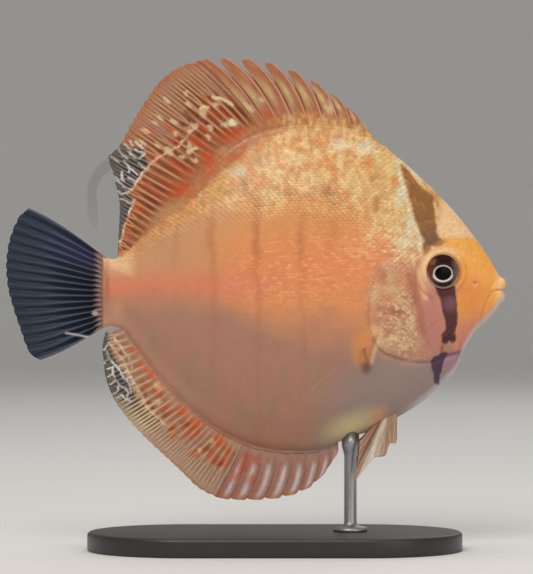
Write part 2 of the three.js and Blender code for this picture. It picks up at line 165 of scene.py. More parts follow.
def gridQuads(columns, rows, wrapColumns=False):
    # faces of a grid whose point (i, j) has the number i * rows + j
    last = columns if wrapColumns else columns - 1
    i, j = np.meshgrid(np.arange(last), np.arange(rows - 1), indexing="ij")
    i, j = i.ravel(), j.ravel()
    k = (i + 1) % columns
    return np.stack([i * rows + j, k * rows + j, k * rows + j + 1, i * rows + j + 1], 1)


def makeMesh(name, points, faces, material, body="root", colours=None, floats=None, bakeMap=None,
             weld=False):
    # points in millimetres, faces all with the same number of corners
    mesh = bpy.data.meshes.new(name)
    points = np.asarray(points, float).reshape(-1, 3)
    faces = np.asarray(faces, int)
    corners = faces.shape[1]
    mesh.vertices.add(len(points))
    mesh.vertices.foreach_set("co", (points * mm).ravel())
    mesh.loops.add(faces.size)
    mesh.loops.foreach_set("vertex_index", faces.ravel())
    mesh.polygons.add(len(faces))
    mesh.polygons.foreach_set("loop_start", np.arange(0, faces.size, corners))
    mesh.polygons.foreach_set("use_smooth", np.ones(len(faces), bool))
    mesh.update(calc_edges=True)
    for label, rgb in (colours or {}).items():
        rgba = np.ones((len(points), 4))
        rgba[:, :3] = rgb.reshape(-1, 3)
        layer = mesh.color_attributes.new(label, "FLOAT_COLOR", "POINT")
        layer.data.foreach_set("color", rgba.ravel())
    for label, values in (floats or {}).items():
        mesh.attributes.new(label, "FLOAT", "POINT").data.foreach_set("value", np.ravel(values))
    if bakeMap is not None:
        layer = mesh.uv_layers.new(name="OFBake")
        layer.data.foreach_set("uv", bakeMap[faces.ravel()].ravel())
    if weld:
        bm = bmesh.new()
        bm.from_mesh(mesh)
        bmesh.ops.remove_doubles(bm, verts=bm.verts, dist=1e-6)
        bmesh.ops.recalc_face_normals(bm, faces=bm.faces)
        bm.to_mesh(mesh)
        bm.free()
    mesh.validate()
    piece = bpy.data.objects.new(name, mesh)
    bpy.context.scene.collection.objects.link(piece)
    mesh.materials.append(material)
    if body:
        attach(piece, body)
    return piece


def newMaterial(name, **settings):
    # a material whose constant values sit on the shader's own sockets
    material = bpy.data.materials.new(name)
    material.use_nodes = True
    shader = material.node_tree.nodes["Principled BSDF"]
    for socket, value in settings.items():
        shader.inputs[socket.replace("_", " ")].default_value = value
    return material, material.node_tree, shader


def addNode(tree, kind, values=None, **settings):
    node = tree.nodes.new(kind)
    for key, value in settings.items():
        setattr(node, key, value)
    for socket, value in (values or {}).items():
        node.inputs[socket].default_value = value
    return node


def ownPlace(tree):
    # the surface's own coordinates, in metres
    return addNode(tree, "ShaderNodeTexCoord").outputs["Object"]


def grain(tree, place, size, detail=3.0):
    values = {"Scale": 1 / (size * mm), "Detail": detail, "Roughness": 0.6}
    noise = addNode(tree, "ShaderNodeTexNoise", values)
    tree.links.new(place, noise.inputs["Vector"])
    return noise.outputs["Fac"]


def bumpFrom(tree, shader, height, strength, depth):
    bump = addNode(tree, "ShaderNodeBump", {"Strength": strength, "Distance": depth * mm})
    tree.links.new(height, bump.inputs["Height"])
    tree.links.new(bump.outputs["Normal"], shader.inputs["Normal"])


def paintedColour(tree, shader, label, size):
    # the mesh's own colours, with a fine grain as strong as the mesh's grain value says
    paint = addNode(tree, "ShaderNodeAttribute", attribute_name=label)
    strength = addNode(tree, "ShaderNodeAttribute", attribute_name="grain")
    fine = grain(tree, ownPlace(tree), size)
    span = {"From Min": 0.3, "From Max": 0.7, "To Min": -1.0, "To Max": 1.0}
    level = addNode(tree, "ShaderNodeMapRange", span)
    tree.links.new(fine, level.inputs["Value"])
    worked = addNode(tree, "ShaderNodeMath", {2: 1.0}, operation="MULTIPLY_ADD")
    tree.links.new(level.outputs["Result"], worked.inputs[0])
    tree.links.new(strength.outputs["Fac"], worked.inputs[1])
    mixed = addNode(tree, "ShaderNodeVectorMath", operation="SCALE")
    tree.links.new(paint.outputs["Color"], mixed.inputs[0])
    tree.links.new(worked.outputs["Value"], mixed.inputs["Scale"])
    tree.links.new(mixed.outputs["Vector"], shader.inputs["Base Color"])
    return fine


# body shape, heights measured from the body's middle line

body = {
    "midline": 83.2,          # above the floor
    "tailEnd": -49.0,
    "snoutEnd": 78.6,
    "back": [[-49, 10.9], [-46, 9.9], [-43, 10.5], [-35.5, 17], [-14.7, 38.4], [-8.3, 44], [-1.9, 48],
             [4.5, 50.2], [10.9, 51.4], [17, 51.7], [30, 50.7], [38.4, 47.7], [46, 41.9], [52.5, 36.2],
             [58.9, 30], [65.3, 22.9], [73.9, 11.2], [78.6, 3.4]],
    "belly": [[-49, -12.1], [-46, -11.4], [-43, -12.2], [-39.7, -16], [-30.7, -27.8], [-17.9, -40.3],
              [-11.5, -44.8], [-5, -48], [1.3, -50.2], [7.7, -51.2], [14, -51.5], [18.9, -51.2],
              [23.7, -49.9], [30, -47.1], [36.2, -45.3], [43.5, -41.7], [52.5, -36.2], [58.9, -30.8],
              [64, -25.4], [66, -19.9], [69.8, -13.6], [75.2, -8.3], [78.6, -3.4]],
    "halfWidth": [[-49, 2.4], [-44, 3.6], [-35, 6], [-20, 9.2], [-5, 11.6], [15, 12.8], [35, 12.6],
                  [48, 11.4], [60, 8.6], [70, 5.6], [75, 4], [78.6, 2.3]],
}
midline = body["midline"]
backHeight = smooth(body["back"])
bellyHeight = smooth(body["belly"])
halfWidth = smooth(body["halfWidth"])


sheath = {                    # the scaly ridge that carries the fins' feet
    "back": smooth([[-45, 0], [-40, 0.9], [-20, 1.4], [12, 1.5], [28, 1.4], [35, 1.0], [38.6, 0]]),
    "belly": smooth([[-45, 0], [-40, 0.8], [-20, 1.1], [8, 1.1], [20, 0.9], [26.6, 0]]),
    "rootHalf": 0.62,
    "rimHalf": 0.30,
}


def keelSharpness(x, lean):
    return 1.24 + 0.12 * lean - soft(x, 55, 75) * 0.2


def sideAt(x, z):
    # half the body's width at a place on its side, the fins' sheath with it
    top, bottom = backHeight(x), bellyHeight(x)
    lean = np.clip((z - (top + bottom) / 2) / ((top - bottom) / 2), -0.9999, 0.9999)
    flesh = halfWidth(x) * (1 - lean ** 2) ** (keelSharpness(x, lean) / 2)
    reach = np.where(lean > 0, sheath["back"](x), sheath["belly"](x))
    present = soft(reach, 0, 1.2)
    beyond = np.where(lean > 0, z - top, bottom - z)
    share = np.clip(beyond / np.maximum(reach, 0.01), 0, 1)
    ridge = sheath["rootHalf"] + (sheath["rimHalf"] - sheath["rootHalf"]) * share
    rounding = np.clip((beyond - reach + 0.45) / 0.45, 0, 1)
    ridge = ridge * np.sqrt(1 - 0.999 * rounding ** 2) * present
    flow = 0.7 * present * (1 - rounding)
    return (flesh + ridge + np.sqrt((flesh - ridge) ** 2 + flow ** 2)) / 2


def sideNormal(x, z):
    # outward direction on the right side, for y counted outwards
    step = 0.15
    dx = (sideAt(x + step, z) - sideAt(x - step, z)) / (2 * step)
    dz = (sideAt(x, z + step) - sideAt(x, z - step)) / (2 * step)
    size = np.sqrt(1 + dx ** 2 + dz ** 2)
    return -dx / size, 1 / size, -dz / size


eye = {
    "centre": (59.8, 5.8),
    "radius": 6.2,
    "deep": 3.2,
    "sunk": 1.6,              # centre below the skin
    "setBack": 0.5,           # ball behind the socket's centre
    "forward": math.radians(14),
    "pupil": (2.62, 2.12),
    "pupilBack": 0.3,
    "pupilLow": 0.5,
}

gillOutline = [(49, 10.3), (46.6, 10.8), (44.6, 10.3), (42.2, 9.9), (40.6, 8.6), (38.6, 6.2), (37.2, 3),
               (36, -0.5), (35.4, -4.4), (35.3, -8.4), (35.8, -12.2), (37, -15.7), (38.7, -18.2),
               (41, -20.1), (43.8, -21.1), (47, -22), (50, -22.3), (55.4, -22.3), (55.6, -19), (55, -16),
               (54.2, -12.6), (53, -9), (51.9, -4.8), (50.7, 0), (49.9, 5.6)]
cheekLine = [(47.6, 9.4), (49.4, 4.6), (50.8, -1), (52.2, -7.4), (53.9, -14), (56.4, -19)]
jawLine = [(77.4, 0.1), (75.6, -0.8), (74.3, -2.6), (73.4, -4.5), (72.6, -7.2), (72.2, -10), (71.8, -14)]
upperJawLine = [(76.6, 3.2), (75.2, 1.4), (74.6, -0.8), (74.4, -2.4)]
throatLine = [(44, -22), (50, -23.4), (56, -23.2), (61, -21.6), (66.5, -19.6)]
nostril = (69.8, 2.2)


def reliefAt(x, z):
    # how far the skin's forms stand out of the plain loft, in millimetres
    eyeDistance = np.hypot(x - eye["centre"][0], z - eye["centre"][1])
    out = 0.5 * hump(eyeDistance, 6.35, 0.75) - 2.4 * (1 - soft(eyeDistance, 4.4, 6.0))
    gill = insideDistance(x, z, gillOutline)
    flap = 1 - 0.85 * soft(x - 0.12 * z, 47.5, 52)
    out += 0.66 * soft(gill, -0.25, 0.45) * flap
    out -= 0.25 * hump(gill, -0.55, 0.5) * flap * soft(x, 34, 36)
    cheek = lineDistance(x, z, cheekLine)
    out += 0.32 * hump(cheek, 0, 0.9)
    behind = lineDistance(x + 1.7, z, cheekLine)
    out -= 0.3 * hump(behind, 0, 0.7)
    out -= 0.42 * hump(lineDistance(x, z, jawLine), 0, 0.38)
    out -= 0.22 * hump(lineDistance(x, z, upperJawLine), 0, 0.35)
    out -= 0.34 * hump(lineDistance(x, z, throatLine), 0, 0.45)
    toNostril = np.hypot(x - nostril[0], z - nostril[1])
    out += 0.26 * hump(toNostril, 0.95, 0.3) - 0.55 * hump(toNostril, 0, 0.5)
    out += 0.5 * spot(x, z, (54.5, -7), (6, 10), 12, 0.9)
    out += 0.85 * spot(x, z, (35.6, -20.3), (2.6, 4.2), 0, 0.8)
    out += 0.10 * (cloud(x, z, 9, 31) - 0.5)
    return out


lipBalls = [((78.1, 2.05), (1.9, 2.7, 2.0)), ((77.8, -2.05), (1.95, 2.5, 2.05))]


def swellLips(x, y, z):
    # points inside a lip are carried out to its round surface
    for (centreX, centreZ), (rx, ry, rz) in lipBalls:
        side = z > 0 if centreZ > 0 else z <= 0
        dx, dy, dz = (x - centreX) / rx, y / ry, (z - centreZ) / rz
        reach = np.maximum(np.sqrt(dx ** 2 + dy ** 2 + dz ** 2), 0.05)
        grow = np.where(side & (x > 75), np.maximum(1, 1 / reach), 1)
        blend = np.where(side & (x > 75) & (reach >= 1), 0.05 * hump(reach, 1, 0.18), 0)
        grow = grow + blend
        x = centreX + (x - centreX) * grow
        y = y * grow
        z = centreZ + (z - centreZ) * grow
    seam = hump(z, 0.05, 0.26) * soft(x, 75.8, 77.4)
    return x - 0.9 * seam * soft(x, 77.5, 79), y * (1 - 0.16 * seam), z


# markings of the skin and fins: columns, rows and ovals are the photograph's pixels, on the fish

photo = {"width": 533, "height": 574, "mmPerPixel": 0.32, "column": 256, "row": 290, "floorRow": 550}


def inPhoto(x, z):
    # the photograph's pixel at a place on the fish
    return photo["column"] + x / photo["mmPerPixel"], photo["row"] - z / photo["mmPerPixel"]


def oval(px, py, mark, blur=0.5):
    # a mark is a column, a row, half a width, half a height and, where it is turned, its degrees
    turn = mark[4] if len(mark) > 4 else 0
    return spot(px, py, mark[:2], mark[2:4], turn, blur)


def daub(colour, px, py, marks, paint, strength=0.85, blur=0.5):
    for mark in marks:
        colour = wash(colour, strength * oval(px, py, mark, blur), paint)
    return colour


washes = palette(
    flank=(224, 145, 90), ember=(228, 136, 88), rear=(197, 145, 104), band=(219, 130, 98),
    low=(172, 124, 102), olive=(150, 126, 98), rose=(176, 118, 104), breast=(151, 131, 125),
    straw=(206, 188, 136), gold=(206, 147, 86), amber=(212, 145, 80), cream=(230, 198, 138),
    chalk=(222, 220, 190), slateTan=(186, 150, 120), rust=(212, 132, 70), brown=(176, 110, 64),
    bars=(168, 98, 62), face=(243, 170, 78), deepFace=(230, 136, 60), forehead=(240, 197, 148),
    lips=(254, 198, 136), jaw=(208, 129, 108), cheek=(192, 126, 112), preopercle=(176, 106, 80),
    pale=(242, 200, 148), gill=(198, 142, 110), gillPale=(212, 192, 140), laceCream=(230, 204, 160),
    laceBrown=(150, 88, 68), nape=(140, 92, 44), napeWarm=(182, 114, 50), maroon=(66, 12, 22),
    plum=(106, 58, 74), violet=(58, 26, 60), throat=(168, 118, 142), pearl=(200, 190, 188),
    orange=(220, 140, 76), smear=(96, 58, 60), mauve=(150, 118, 108))
fins = palette(
    lobe=(166, 104, 70), lobeEdge=(230, 164, 138), lobeDark=(104, 54, 34), window=(204, 178, 126),
    tan=(190, 142, 104), dusk=(168, 124, 100), rimOrange=(180, 100, 64), red=(200, 82, 34),
    darkRed=(128, 40, 18), rose=(184, 108, 84), cream=(232, 212, 164), pearl=(226, 222, 178),
    rayLight=(212, 158, 112), paleRay=(216, 190, 160), between=(104, 50, 28), ink=(16, 17, 22),
    net=(222, 214, 204), thread=(232, 196, 158), mauve=(162, 122, 110), greenTan=(174, 148, 116),
    lilac=(216, 200, 200), hem=(190, 116, 64),
    foot=(184, 112, 70), footGold=(192, 148, 98), footTan=(190, 145, 105), footRed=(202, 96, 48),
    dorsalRust=(172, 102, 64), streamer=(60, 72, 96), streamerRay=(150, 160, 180),
    analLobe=(168, 122, 104), analRust=(176, 106, 90), analDark=(92, 58, 54), analFoot=(172, 134, 120),
    analSand=(186, 140, 108), analEdge=(188, 154, 132), analRed=(208, 96, 38), analBetween=(112, 70, 52),
    analRoot=(180, 134, 112),
    slate=(26, 37, 52), slateDark=(10, 14, 24), slateRay=(88, 100, 116), violet=(66, 58, 98),
    tailRoot=(196, 168, 160), tailRim=(132, 124, 132), tailThread=(206, 196, 206), tailSpot=(206, 180, 164),
    pectoral=(176, 146, 130), pectoralRay=(206, 180, 160),
    pelvic=(172, 136, 112), pelvicRear=(170, 108, 72), pelvicBrown=(96, 58, 44), pelvicWhite=(228, 218, 204),
    pelvicFront=(206, 176, 148), pelvicBetween=(120, 84, 66))

backEdge = smooth([
    [108, 260], [122, 258], [136, 250], [150, 238], [186, 221], [215, 206], [245, 203], [270, 207],
    [290, 199], [320, 205], [345, 208], [370, 226], [386, 240], [400, 252], [414, 258], [430, 252]])
finBorder = smooth([
    [112, 254], [118, 252], [130, 246], [145, 238], [160, 225], [175, 214], [190, 203], [200, 195],
    [222, 172], [250, 150], [262, 140], [280, 133], [300, 128], [340, 125], [368, 135]])
rustMarks = [
    (260, 147, 4.5, 7, -20), (276, 152, 3.5, 8, -10), (293, 147, 5, 4.5), (321, 143, 5.5, 5),
    (325, 163, 6, 5.5, 20), (292, 173, 3.5, 6, -30), (308, 168, 3.5, 4), (333, 170, 3.5, 9, -8),
    (368, 166, 4, 9), (251, 172, 4.5, 10, -12), (233, 184, 4, 5), (262, 181, 5, 8), (344, 196, 4, 6),
    (313, 203, 4, 7), (394, 182, 4, 5), (296, 207, 4, 5), (281, 166, 4, 4), (236, 158, 13, 4.2),
    (408, 200, 3, 6), (210, 168, 6, 8, 20), (206, 154, 5, 7)]
brownMarks = [
    (290, 195, 7, 6), (328, 192, 4.5, 9, -6), (332, 204, 5, 4.5), (245, 186, 3.5, 6), (375, 204, 2.6, 9),
    (256, 207, 5, 9), (372, 179, 3.5, 5), (347, 198, 2.5, 4), (302, 200, 3, 5)]
chalkMarks = [
    (340, 145, 7, 5), (365, 148, 8, 7), (400, 194, 4.5, 13, 15), (238, 172, 12, 5), (232, 147, 11, 4),
    (198, 197, 6, 4, -30), (404, 243, 9, 5), (408, 226, 4, 12)]
creamMarks = [
    (384, 160, 11, 7, 35), (393, 171, 10, 8, 30), (300, 160, 16, 6), (350, 172, 8, 14), (275, 172, 10, 9),
    (310, 182, 14, 7), (285, 158, 8, 8), (355, 190, 7, 10), (240, 200, 14, 5), (268, 196, 10, 6)]
bars = [
    (212, 236, 3.4, 26, 0.3), (256, 232, 3.8, 36, 0.42), (301, 240, 3.2, 28, 0.32), (332, 232, 4, 18, 0.22),
    (176, 246, 4, 16, 0.2), (258, 330, 2.8, 80, 0.26), (214, 310, 2.8, 66, 0.2), (303, 320, 2.8, 60, 0.18)]
napeOutline = [
    (400, 163), (405, 168), (409.5, 173), (414, 178.5), (418, 184), (422, 189), (428, 192.5), (432.5, 196),
    (433.3, 207), (434.5, 216), (435, 226), (436.5, 236), (441, 241), (440, 245), (434, 246), (429, 247),
    (424, 253), (421, 248), (424, 240), (420, 235), (416.5, 226), (413, 217), (411, 208), (408.5, 198),
    (405.5, 188), (402, 176)]
eyeBarOutline = [
    (433, 286), (454, 286), (454.5, 295), (456, 305), (456.5, 318), (454.5, 332), (444.5, 332),
    (443.5, 320), (440.5, 310), (439, 300), (435.5, 293)]
cheekBlots = [(445, 336, 5, 5.6), (450.5, 335.5, 4.6, 4.8), (444, 340, 3.6, 3.6), (451.5, 339, 3.4, 3.4)]
chinOutline = [
    (429.5, 360), (433, 355.5), (438, 354.5), (443, 351), (448, 353), (443.5, 358), (441.5, 366),
    (439.5, 374), (438, 385), (433.5, 383), (432, 372), (430.5, 365)]
gillPaleMarks = [
    (386, 275, 6, 6), (373, 295, 6, 9), (400, 300, 7, 5), (411, 317, 4, 12), (404, 341, 10, 5, 20),
    (416, 337, 6, 4, 20), (386, 342, 9, 5), (391, 289, 8, 5), (402, 325, 6, 5)]
gillRustMarks = [
    (380, 274, 4, 8), (409, 284, 4, 6), (412, 300, 3.5, 12, 12), (385, 309, 8, 3.5), (395, 312, 5, 4)]
lobeReds = [
    (268, 117, 9, 5, 40), (304, 118, 4, 9, -25), (246, 132, 9, 7, 20), (282, 122, 5, 6), (318, 120, 4, 6),
    (336, 128, 4, 7, -20), (232, 112, 12, 6), (240, 118, 5, 9, -30)]
lobeCreams = [
    (250, 108, 5, 2.4, 40), (262, 100, 4, 2.2, 40), (290, 118, 5, 3, 40), (318, 131, 6, 5), (330, 108, 4, 6)]
dorsalReds = [
    (226, 113, 13, 5, 10), (230, 134, 15, 7, -4), (212, 115, 6, 5), (203, 128, 6, 6), (197, 140, 8, 6, 30),
    (206, 155, 5, 9, -10), (211, 166, 7, 9), (237, 158, 14, 4.5, -6), (180, 167, 10, 8, 20),
    (165, 187, 10, 6, 20), (184, 191, 13, 7, 10), (143, 185, 6, 5, 30), (140, 208, 8, 5, 20),
    (178, 142, 5, 4, 30), (207, 103, 9, 4.5, 25), (157, 157, 6, 4, 20), (127, 226, 4, 5),
    (151, 132, 5, 3, 30), (173, 141, 4, 3), (155, 196, 7, 5, 20), (170, 128, 6, 2.4, 35)]
dorsalDarks = [
    (192, 120, 5, 6, 30), (184, 125, 5, 4, 30), (238, 111, 7, 4, 20), (187, 113, 4, 4), (200, 134, 4, 4),
    (162, 150, 3, 2.4), (206, 99, 7, 3, 25), (177, 141, 3, 3), (212, 98, 4, 2.4), (146, 178, 4, 3)]
dorsalPearls = [
    (232, 123, 5.2, 3.8, 15), (224, 124.5, 4, 2.6), (216, 105, 3.4, 2.4), (203, 112, 3.8, 5.4, -20),
    (194, 126, 4, 3.2, -10), (189, 130, 2.8, 2.6), (211, 128, 2.8, 2.8), (209, 138, 2.2, 3.6, -30),
    (176, 134, 3, 2.4, 20), (174, 122, 3.2, 2, 25), (169, 151, 4, 3.4, 20), (182, 157, 2.8, 2.2),
    (186, 93, 3.2, 2.6, 30), (188, 104, 3, 2, 30), (190, 146, 2.2, 3), (159, 117, 4, 1.8, 35),
    (146, 131, 5, 2, 25), (155, 123, 4, 1.6, 35), (166, 100, 5, 1.8, 40), (195, 160, 2.4, 3),
    (143, 143, 4, 1.8, 35), (157, 145, 3, 1.6, 40)]
dorsalCreams = [[(214, 98), (222, 99), (231, 104)], [(207, 107), (201, 108)], [(196, 148), (188, 152)]]
dorsalThreads = [
    [(196, 127), (188, 135), (178, 147), (166, 153), (158, 158), (150, 165), (144, 172), (139, 180),
     (133, 188), (127, 193)], [(134, 203), (130, 211), (127, 218), (124, 226), (123, 234), (119, 247)]]
dorsalNet = [
    [(111, 157), (119, 161)], [(119, 148), (123, 155), (127, 158)], [(125, 144), (131, 151)],
    [(133, 157), (140, 159), (145, 153)], [(124, 162), (130, 168), (129, 172)],
    [(122, 171), (121, 177), (124, 181)], [(118, 191), (122, 194), (127, 193)], [(133, 146), (130, 141)],
    [(109, 167), (113, 172)], [(116, 180), (126, 187)], [(136, 150), (142, 153)], [(128, 177), (135, 182)],
    [(132, 169), (138, 174)], [(120, 199), (131, 203)], [(136, 142), (142, 147)], [(113, 175), (119, 180)],
    [(139, 164), (145, 168)], [(126, 187), (132, 189)], [(131, 203), (134, 200)], [(128, 152), (134, 156)]]
analLobeReds = [
    (247, 455, 5, 5, -30), (243, 466, 7, 4, -50), (266, 455, 6, 4), (277, 457, 8, 4, -10), (256, 460, 3, 5),
    (236, 477, 7, 3.5, -50), (252, 480, 4, 6, 20), (226, 452, 6, 4), (222, 462, 8, 5, 20)]
analReds = [
    (150, 375, 4, 8, -35), (158, 392, 5, 8, -40), (166, 410, 5, 9, -35), (150, 405, 2.6, 7, -35),
    (182, 411, 7, 7), (192, 430, 9, 9), (207, 450, 7, 5, 10), (214, 458, 7, 5, 20), (222, 462, 9, 5),
    (218, 440, 9, 7, 20), (228, 452, 6, 4, 30), (200, 420, 8, 8), (172, 428, 4, 5, -30),
    (141, 366, 5, 4, -40), (187, 424, 6, 4), (174, 437, 5, 3, 10), (194, 452, 6, 4, -20), (180, 395, 6, 7),
    (144, 384, 3, 7, -35), (134, 350, 5, 3, 20)]
analDarks = [
    (121, 353, 4, 2.6, 40), (149, 407, 2.2, 5, -35), (171, 429, 3.4, 2.2), (165, 415, 3, 4),
    (157, 418, 3, 2.4, 40), (207, 450, 4, 3), (218, 463, 5, 2.6), (185, 424, 3, 3), (144, 392, 2, 5, -35)]
analThreads = [
    [(109, 343), (116, 352), (124, 362), (130, 375), (136, 385), (141, 395), (146, 405), (155, 415),
     (165, 424)], [(115, 338), (122, 348), (128, 357), (132, 368)]]
analNet = [
    [(107, 351), (109, 359), (114, 363), (118, 368), (121, 374), (126, 379), (129, 386), (131, 393)],
    [(113, 366), (113, 374), (116, 380), (119, 384), (118, 390)],
    [(119, 384), (124, 388), (128, 393), (127, 399)], [(116, 398), (121, 395), (125, 398), (131, 402)],
    [(108, 346), (104, 350)], [(109, 359), (104, 363)], [(113, 366), (108, 369)], [(113, 374), (108, 377)],
    [(116, 380), (110, 384)], [(118, 390), (112, 394)], [(118, 368), (124, 365)], [(121, 374), (127, 371)],
    [(126, 379), (131, 377)], [(129, 386), (134, 383)]]
backAt = {
    "rearColumns": (150, 260), "stripColumns": (225, 270), "footColumns": (262, 300),
    "foreCream": (392, 190, 26, 44),
    "slateTan": (236, 160, 24, 22),
    "footGold": (168, 214, 22, 10, -28),
    "footTan": (220, 147, 13, 6, -10),
}


def finNoise(px, py):
    return cloud(px, py, 7, 51) - 0.5, cloud(px, py, 3.2, 53) - 0.5


def backMesh(px, py):
    # the fine mesh of cream and brown on the back
    return cloud(px, 0.5 * py, 3.0, 31) - 0.5


def paintBack(px, py, patch, fine):
    # cream and gold back with rust spots, which runs on over the dorsal fin's foot
    w, f, at = washes, fins, backAt
    rearward = 1 - soft(px, *at["rearColumns"])
    mesh = backMesh(px, py)
    colour = baseCoat(px, w["gold"])
    colour = wash(colour, 0.75 * rearward, w["amber"])
    colour = wash(colour, 0.7 * soft(0.25 * patch + mesh, -0.12, 0.22) * (1 - 0.4 * rearward), w["cream"])
    colour = wash(colour, 0.35 * soft(-mesh, 0.05, 0.25), w["brown"])
    colour = wash(colour, 0.34 * oval(px, py, at["foreCream"], 0.8), w["cream"])
    colour = daub(colour, px + 10 * fine, py + 8 * patch, creamMarks, w["cream"], 0.35, 0.9)
    colour = wash(colour, 0.4 * oval(px, py, at["slateTan"], 0.8), w["slateTan"])
    colour = daub(colour, px + 6 * fine, py + 6 * fine, chalkMarks, w["chalk"], 0.6, 0.7)
    colour = daub(colour, px + 4 * fine, py + 5 * fine, rustMarks, w["rust"], 0.8, 0.75)
    colour = daub(colour, px + 4 * fine, py + 5 * fine, brownMarks, w["brown"], 0.65, 0.8)
    # the dorsal fin's pattern comes down over the body, with a gold strip under it
    below = py - finBorder(px) + 5 * patch + 4 * fine
    colour = wash(colour, 0.6 * hump(below, 7, 7) * (1 - soft(px, *at["stripColumns"])), w["amber"])
    foot = wash(baseCoat(px, f["foot"]), 0.6 * soft(mesh, 0.0, 0.2), f["tan"])
    foot = wash(foot, 0.7 * oval(px, py, at["footGold"], 0.6), f["footGold"])
    foot = wash(foot, 0.6 * oval(px, py, at["footTan"], 0.7), f["footTan"])
    foot = daub(foot, px + 6 * fine, py + 6 * fine, dorsalReds, f["footRed"], 0.7, 0.8)
    foot = daub(foot, px + 3 * fine, py + 3 * fine, dorsalPearls, f["cream"], 0.6, 0.6)
    over = 1 - soft(below, -3, 3)
    return wash(colour, 0.92 * over * (1 - soft(px, *at["footColumns"])), foot)


flankAt = {
    "amber": (300, 222, 95, 26),
    "ember": (322, 268, 80, 28),
    "rearColumn": 240, "rearRow": 250, "rearFade": (-20, 70),
    "bandColumn": 110, "bandRow": 289, "bandHalf": 15, "bandColumns": (210, 330),
    "lowRows": (286, 320), "lowDrop": 34, "lowColumns": (200, 320), "oliveColumns": (330, 380),
    "breastColumn": 380, "breastRow": 370, "breastColumns": (318, 378), "breastRows": (338, 366),
    "keelColumn": 106, "keelRows": (258, 268), "keelColumns": (126, 140),
    "footRow": 290, "footColumns": (98, 107),
    "rustColumn": 107.5, "rustRow": 288, "rustMiddle": 284, "rustHalf": 22,
}


def paintFlank(px, py, patch, fine):
    w, at = washes, flankAt
    drift, wave = cloud(px, py, 26, 3) - 0.5, cloud(px, py, 15, 61) - 0.5
    streak = cloud(px, 0.3 * py, 11, 17) - 0.5
    colour = baseCoat(px, w["flank"])
    colour = wash(colour, 0.75 * oval(px, py, at["amber"], 0.9), w["amber"])
    colour = wash(colour, 0.7 * oval(px, py, at["ember"], 0.9), w["ember"])
    rear = at["rearColumn"] - px + 0.3 * (at["rearRow"] - py) + 30 * drift
    colour = wash(colour, 0.9 * soft(rear, *at["rearFade"]), w["rear"])
    band = hump(py, at["bandRow"] - 0.02 * (px - at["bandColumn"]), at["bandHalf"])
    colour = wash(colour, 0.95 * band * (1 - soft(px, *at["bandColumns"])), w["band"])
    # grey tan below the middle, with rose and olive streaks: partly the flank's own colour, partly painted
    # shade that darkens the lower body
    top, bottom = at["lowRows"]
    row = py + 20 * drift + 5 * streak - 0.05 * (px - at["lowColumns"][0])
    low = soft(row, top, bottom + at["lowDrop"] * soft(px, *at["lowColumns"]))
    colour = wash(colour, low, w["low"])
    colour = wash(colour, 0.32 * low * soft(streak + 0.3 * drift, 0.0, 0.25), w["rose"])
    olive = 0.32 * low * soft(-streak, 0.0, 0.25) * (1 - soft(px, *at["oliveColumns"]))
    colour = wash(colour, olive, w["olive"])
    # the grey breast, partly its own colour, partly painted shade like the grey tan below the middle
    breast = soft(px + 0.5 * (py - at["breastRow"]) + 20 * drift, *at["breastColumns"])
    breast = breast * soft(py - 0.15 * (px - at["breastColumn"]), *at["breastRows"])
    colour = wash(colour, 0.92 * breast, w["breast"])
    for *bar, depth in bars:
        mark = oval(px + 7 * wave + 3 * fine, py, bar, 0.9)
        colour = wash(colour, 1.15 * depth * mark * (1 + fine), w["bars"])
    back = soft(backEdge(px) - py + 9 * patch + 12 * backMesh(px, py), -13, 12)
    colour = wash(colour, back, paintBack(px, py, patch, fine))
    # pale keels before the tail, and a rust line where the tail fin starts
    keel = 1 - soft(py - 0.5 * (px - at["keelColumn"]), *at["keelRows"])
    colour = wash(colour, 0.6 * keel * (1 - soft(px, *at["keelColumns"])), w["pale"])
    foot = 1 - soft(px + 0.05 * np.abs(py - at["footRow"]), *at["footColumns"])
    colour = wash(colour, 0.8 * foot, w["mauve"])
    rust = hump(px + 0.0016 * (py - at["rustRow"]) ** 2, at["rustColumn"], 2.2)
    return wash(colour, 0.75 * rust * hump(py, at["rustMiddle"], at["rustHalf"]), w["bars"])


gillAt = {
    "laceColumn": 390, "laceRows": (286, 306), "laceFront": (413, 420), "laceRear": (364, 392),
    "flecks": (388, 243, 34, 20),
    "cheek": (432, 312, 15, 40, 8),
    "cheekFold": [(407, 276), (412, 292), (417, 308), (420, 330)],
    "paleFold": [(411, 256), (413, 266), (417, 280), (424, 297)],
    "pore": (430, 324, 1.8, 2.4),
}


def paintGill(colour, px, py, gap, patch, fine):
    # rust and cream lace on the gill cover, and the plain cheek before it
    w, at = washes, gillAt
    speck = cloud(px, py, 2.1, 23) - 0.5
    colour = wash(colour, 0.7 * soft(gap, -4, 3), w["gill"])
    colour = daub(colour, px + 6 * patch, py + 6 * patch, gillPaleMarks, w["gillPale"], 0.5, 0.9)
    colour = daub(colour, px + 5 * patch, py + 5 * patch, gillRustMarks, w["preopercle"], 0.65, 0.7)
    lace = soft(gap + 0.6, 0, 4) * soft(py - 0.5 * (at["laceColumn"] - px), *at["laceRows"])
    lace = lace * (1 - soft(px, *at["laceFront"])) * soft(px + 10 * patch, *at["laceRear"])
    colour = wash(colour, 0.62 * lace * soft(speck + 0.3 * fine, 0.06, 0.2), w["laceCream"])
    colour = wash(colour, 0.6 * lace * soft(-speck - 0.3 * fine, 0.1, 0.24), w["laceBrown"])
    flecks = oval(px, py, at["flecks"]) * soft(speck + 0.5 * patch, 0.0, 0.15)
    colour = wash(colour, 0.6 * flecks, w["laceCream"])
    colour = wash(colour, 0.9 * oval(px, py, at["cheek"], 0.45), w["cheek"])
    colour = wash(colour, 0.7 * stroke(px, py, at["cheekFold"], 3.4, 0.8), w["preopercle"])
    colour = wash(colour, 0.95 * stroke(px, py, at["paleFold"], 2.6, 0.7), w["pale"])
    return wash(colour, 0.7 * oval(px, py, at["pore"]), w["preopercle"])


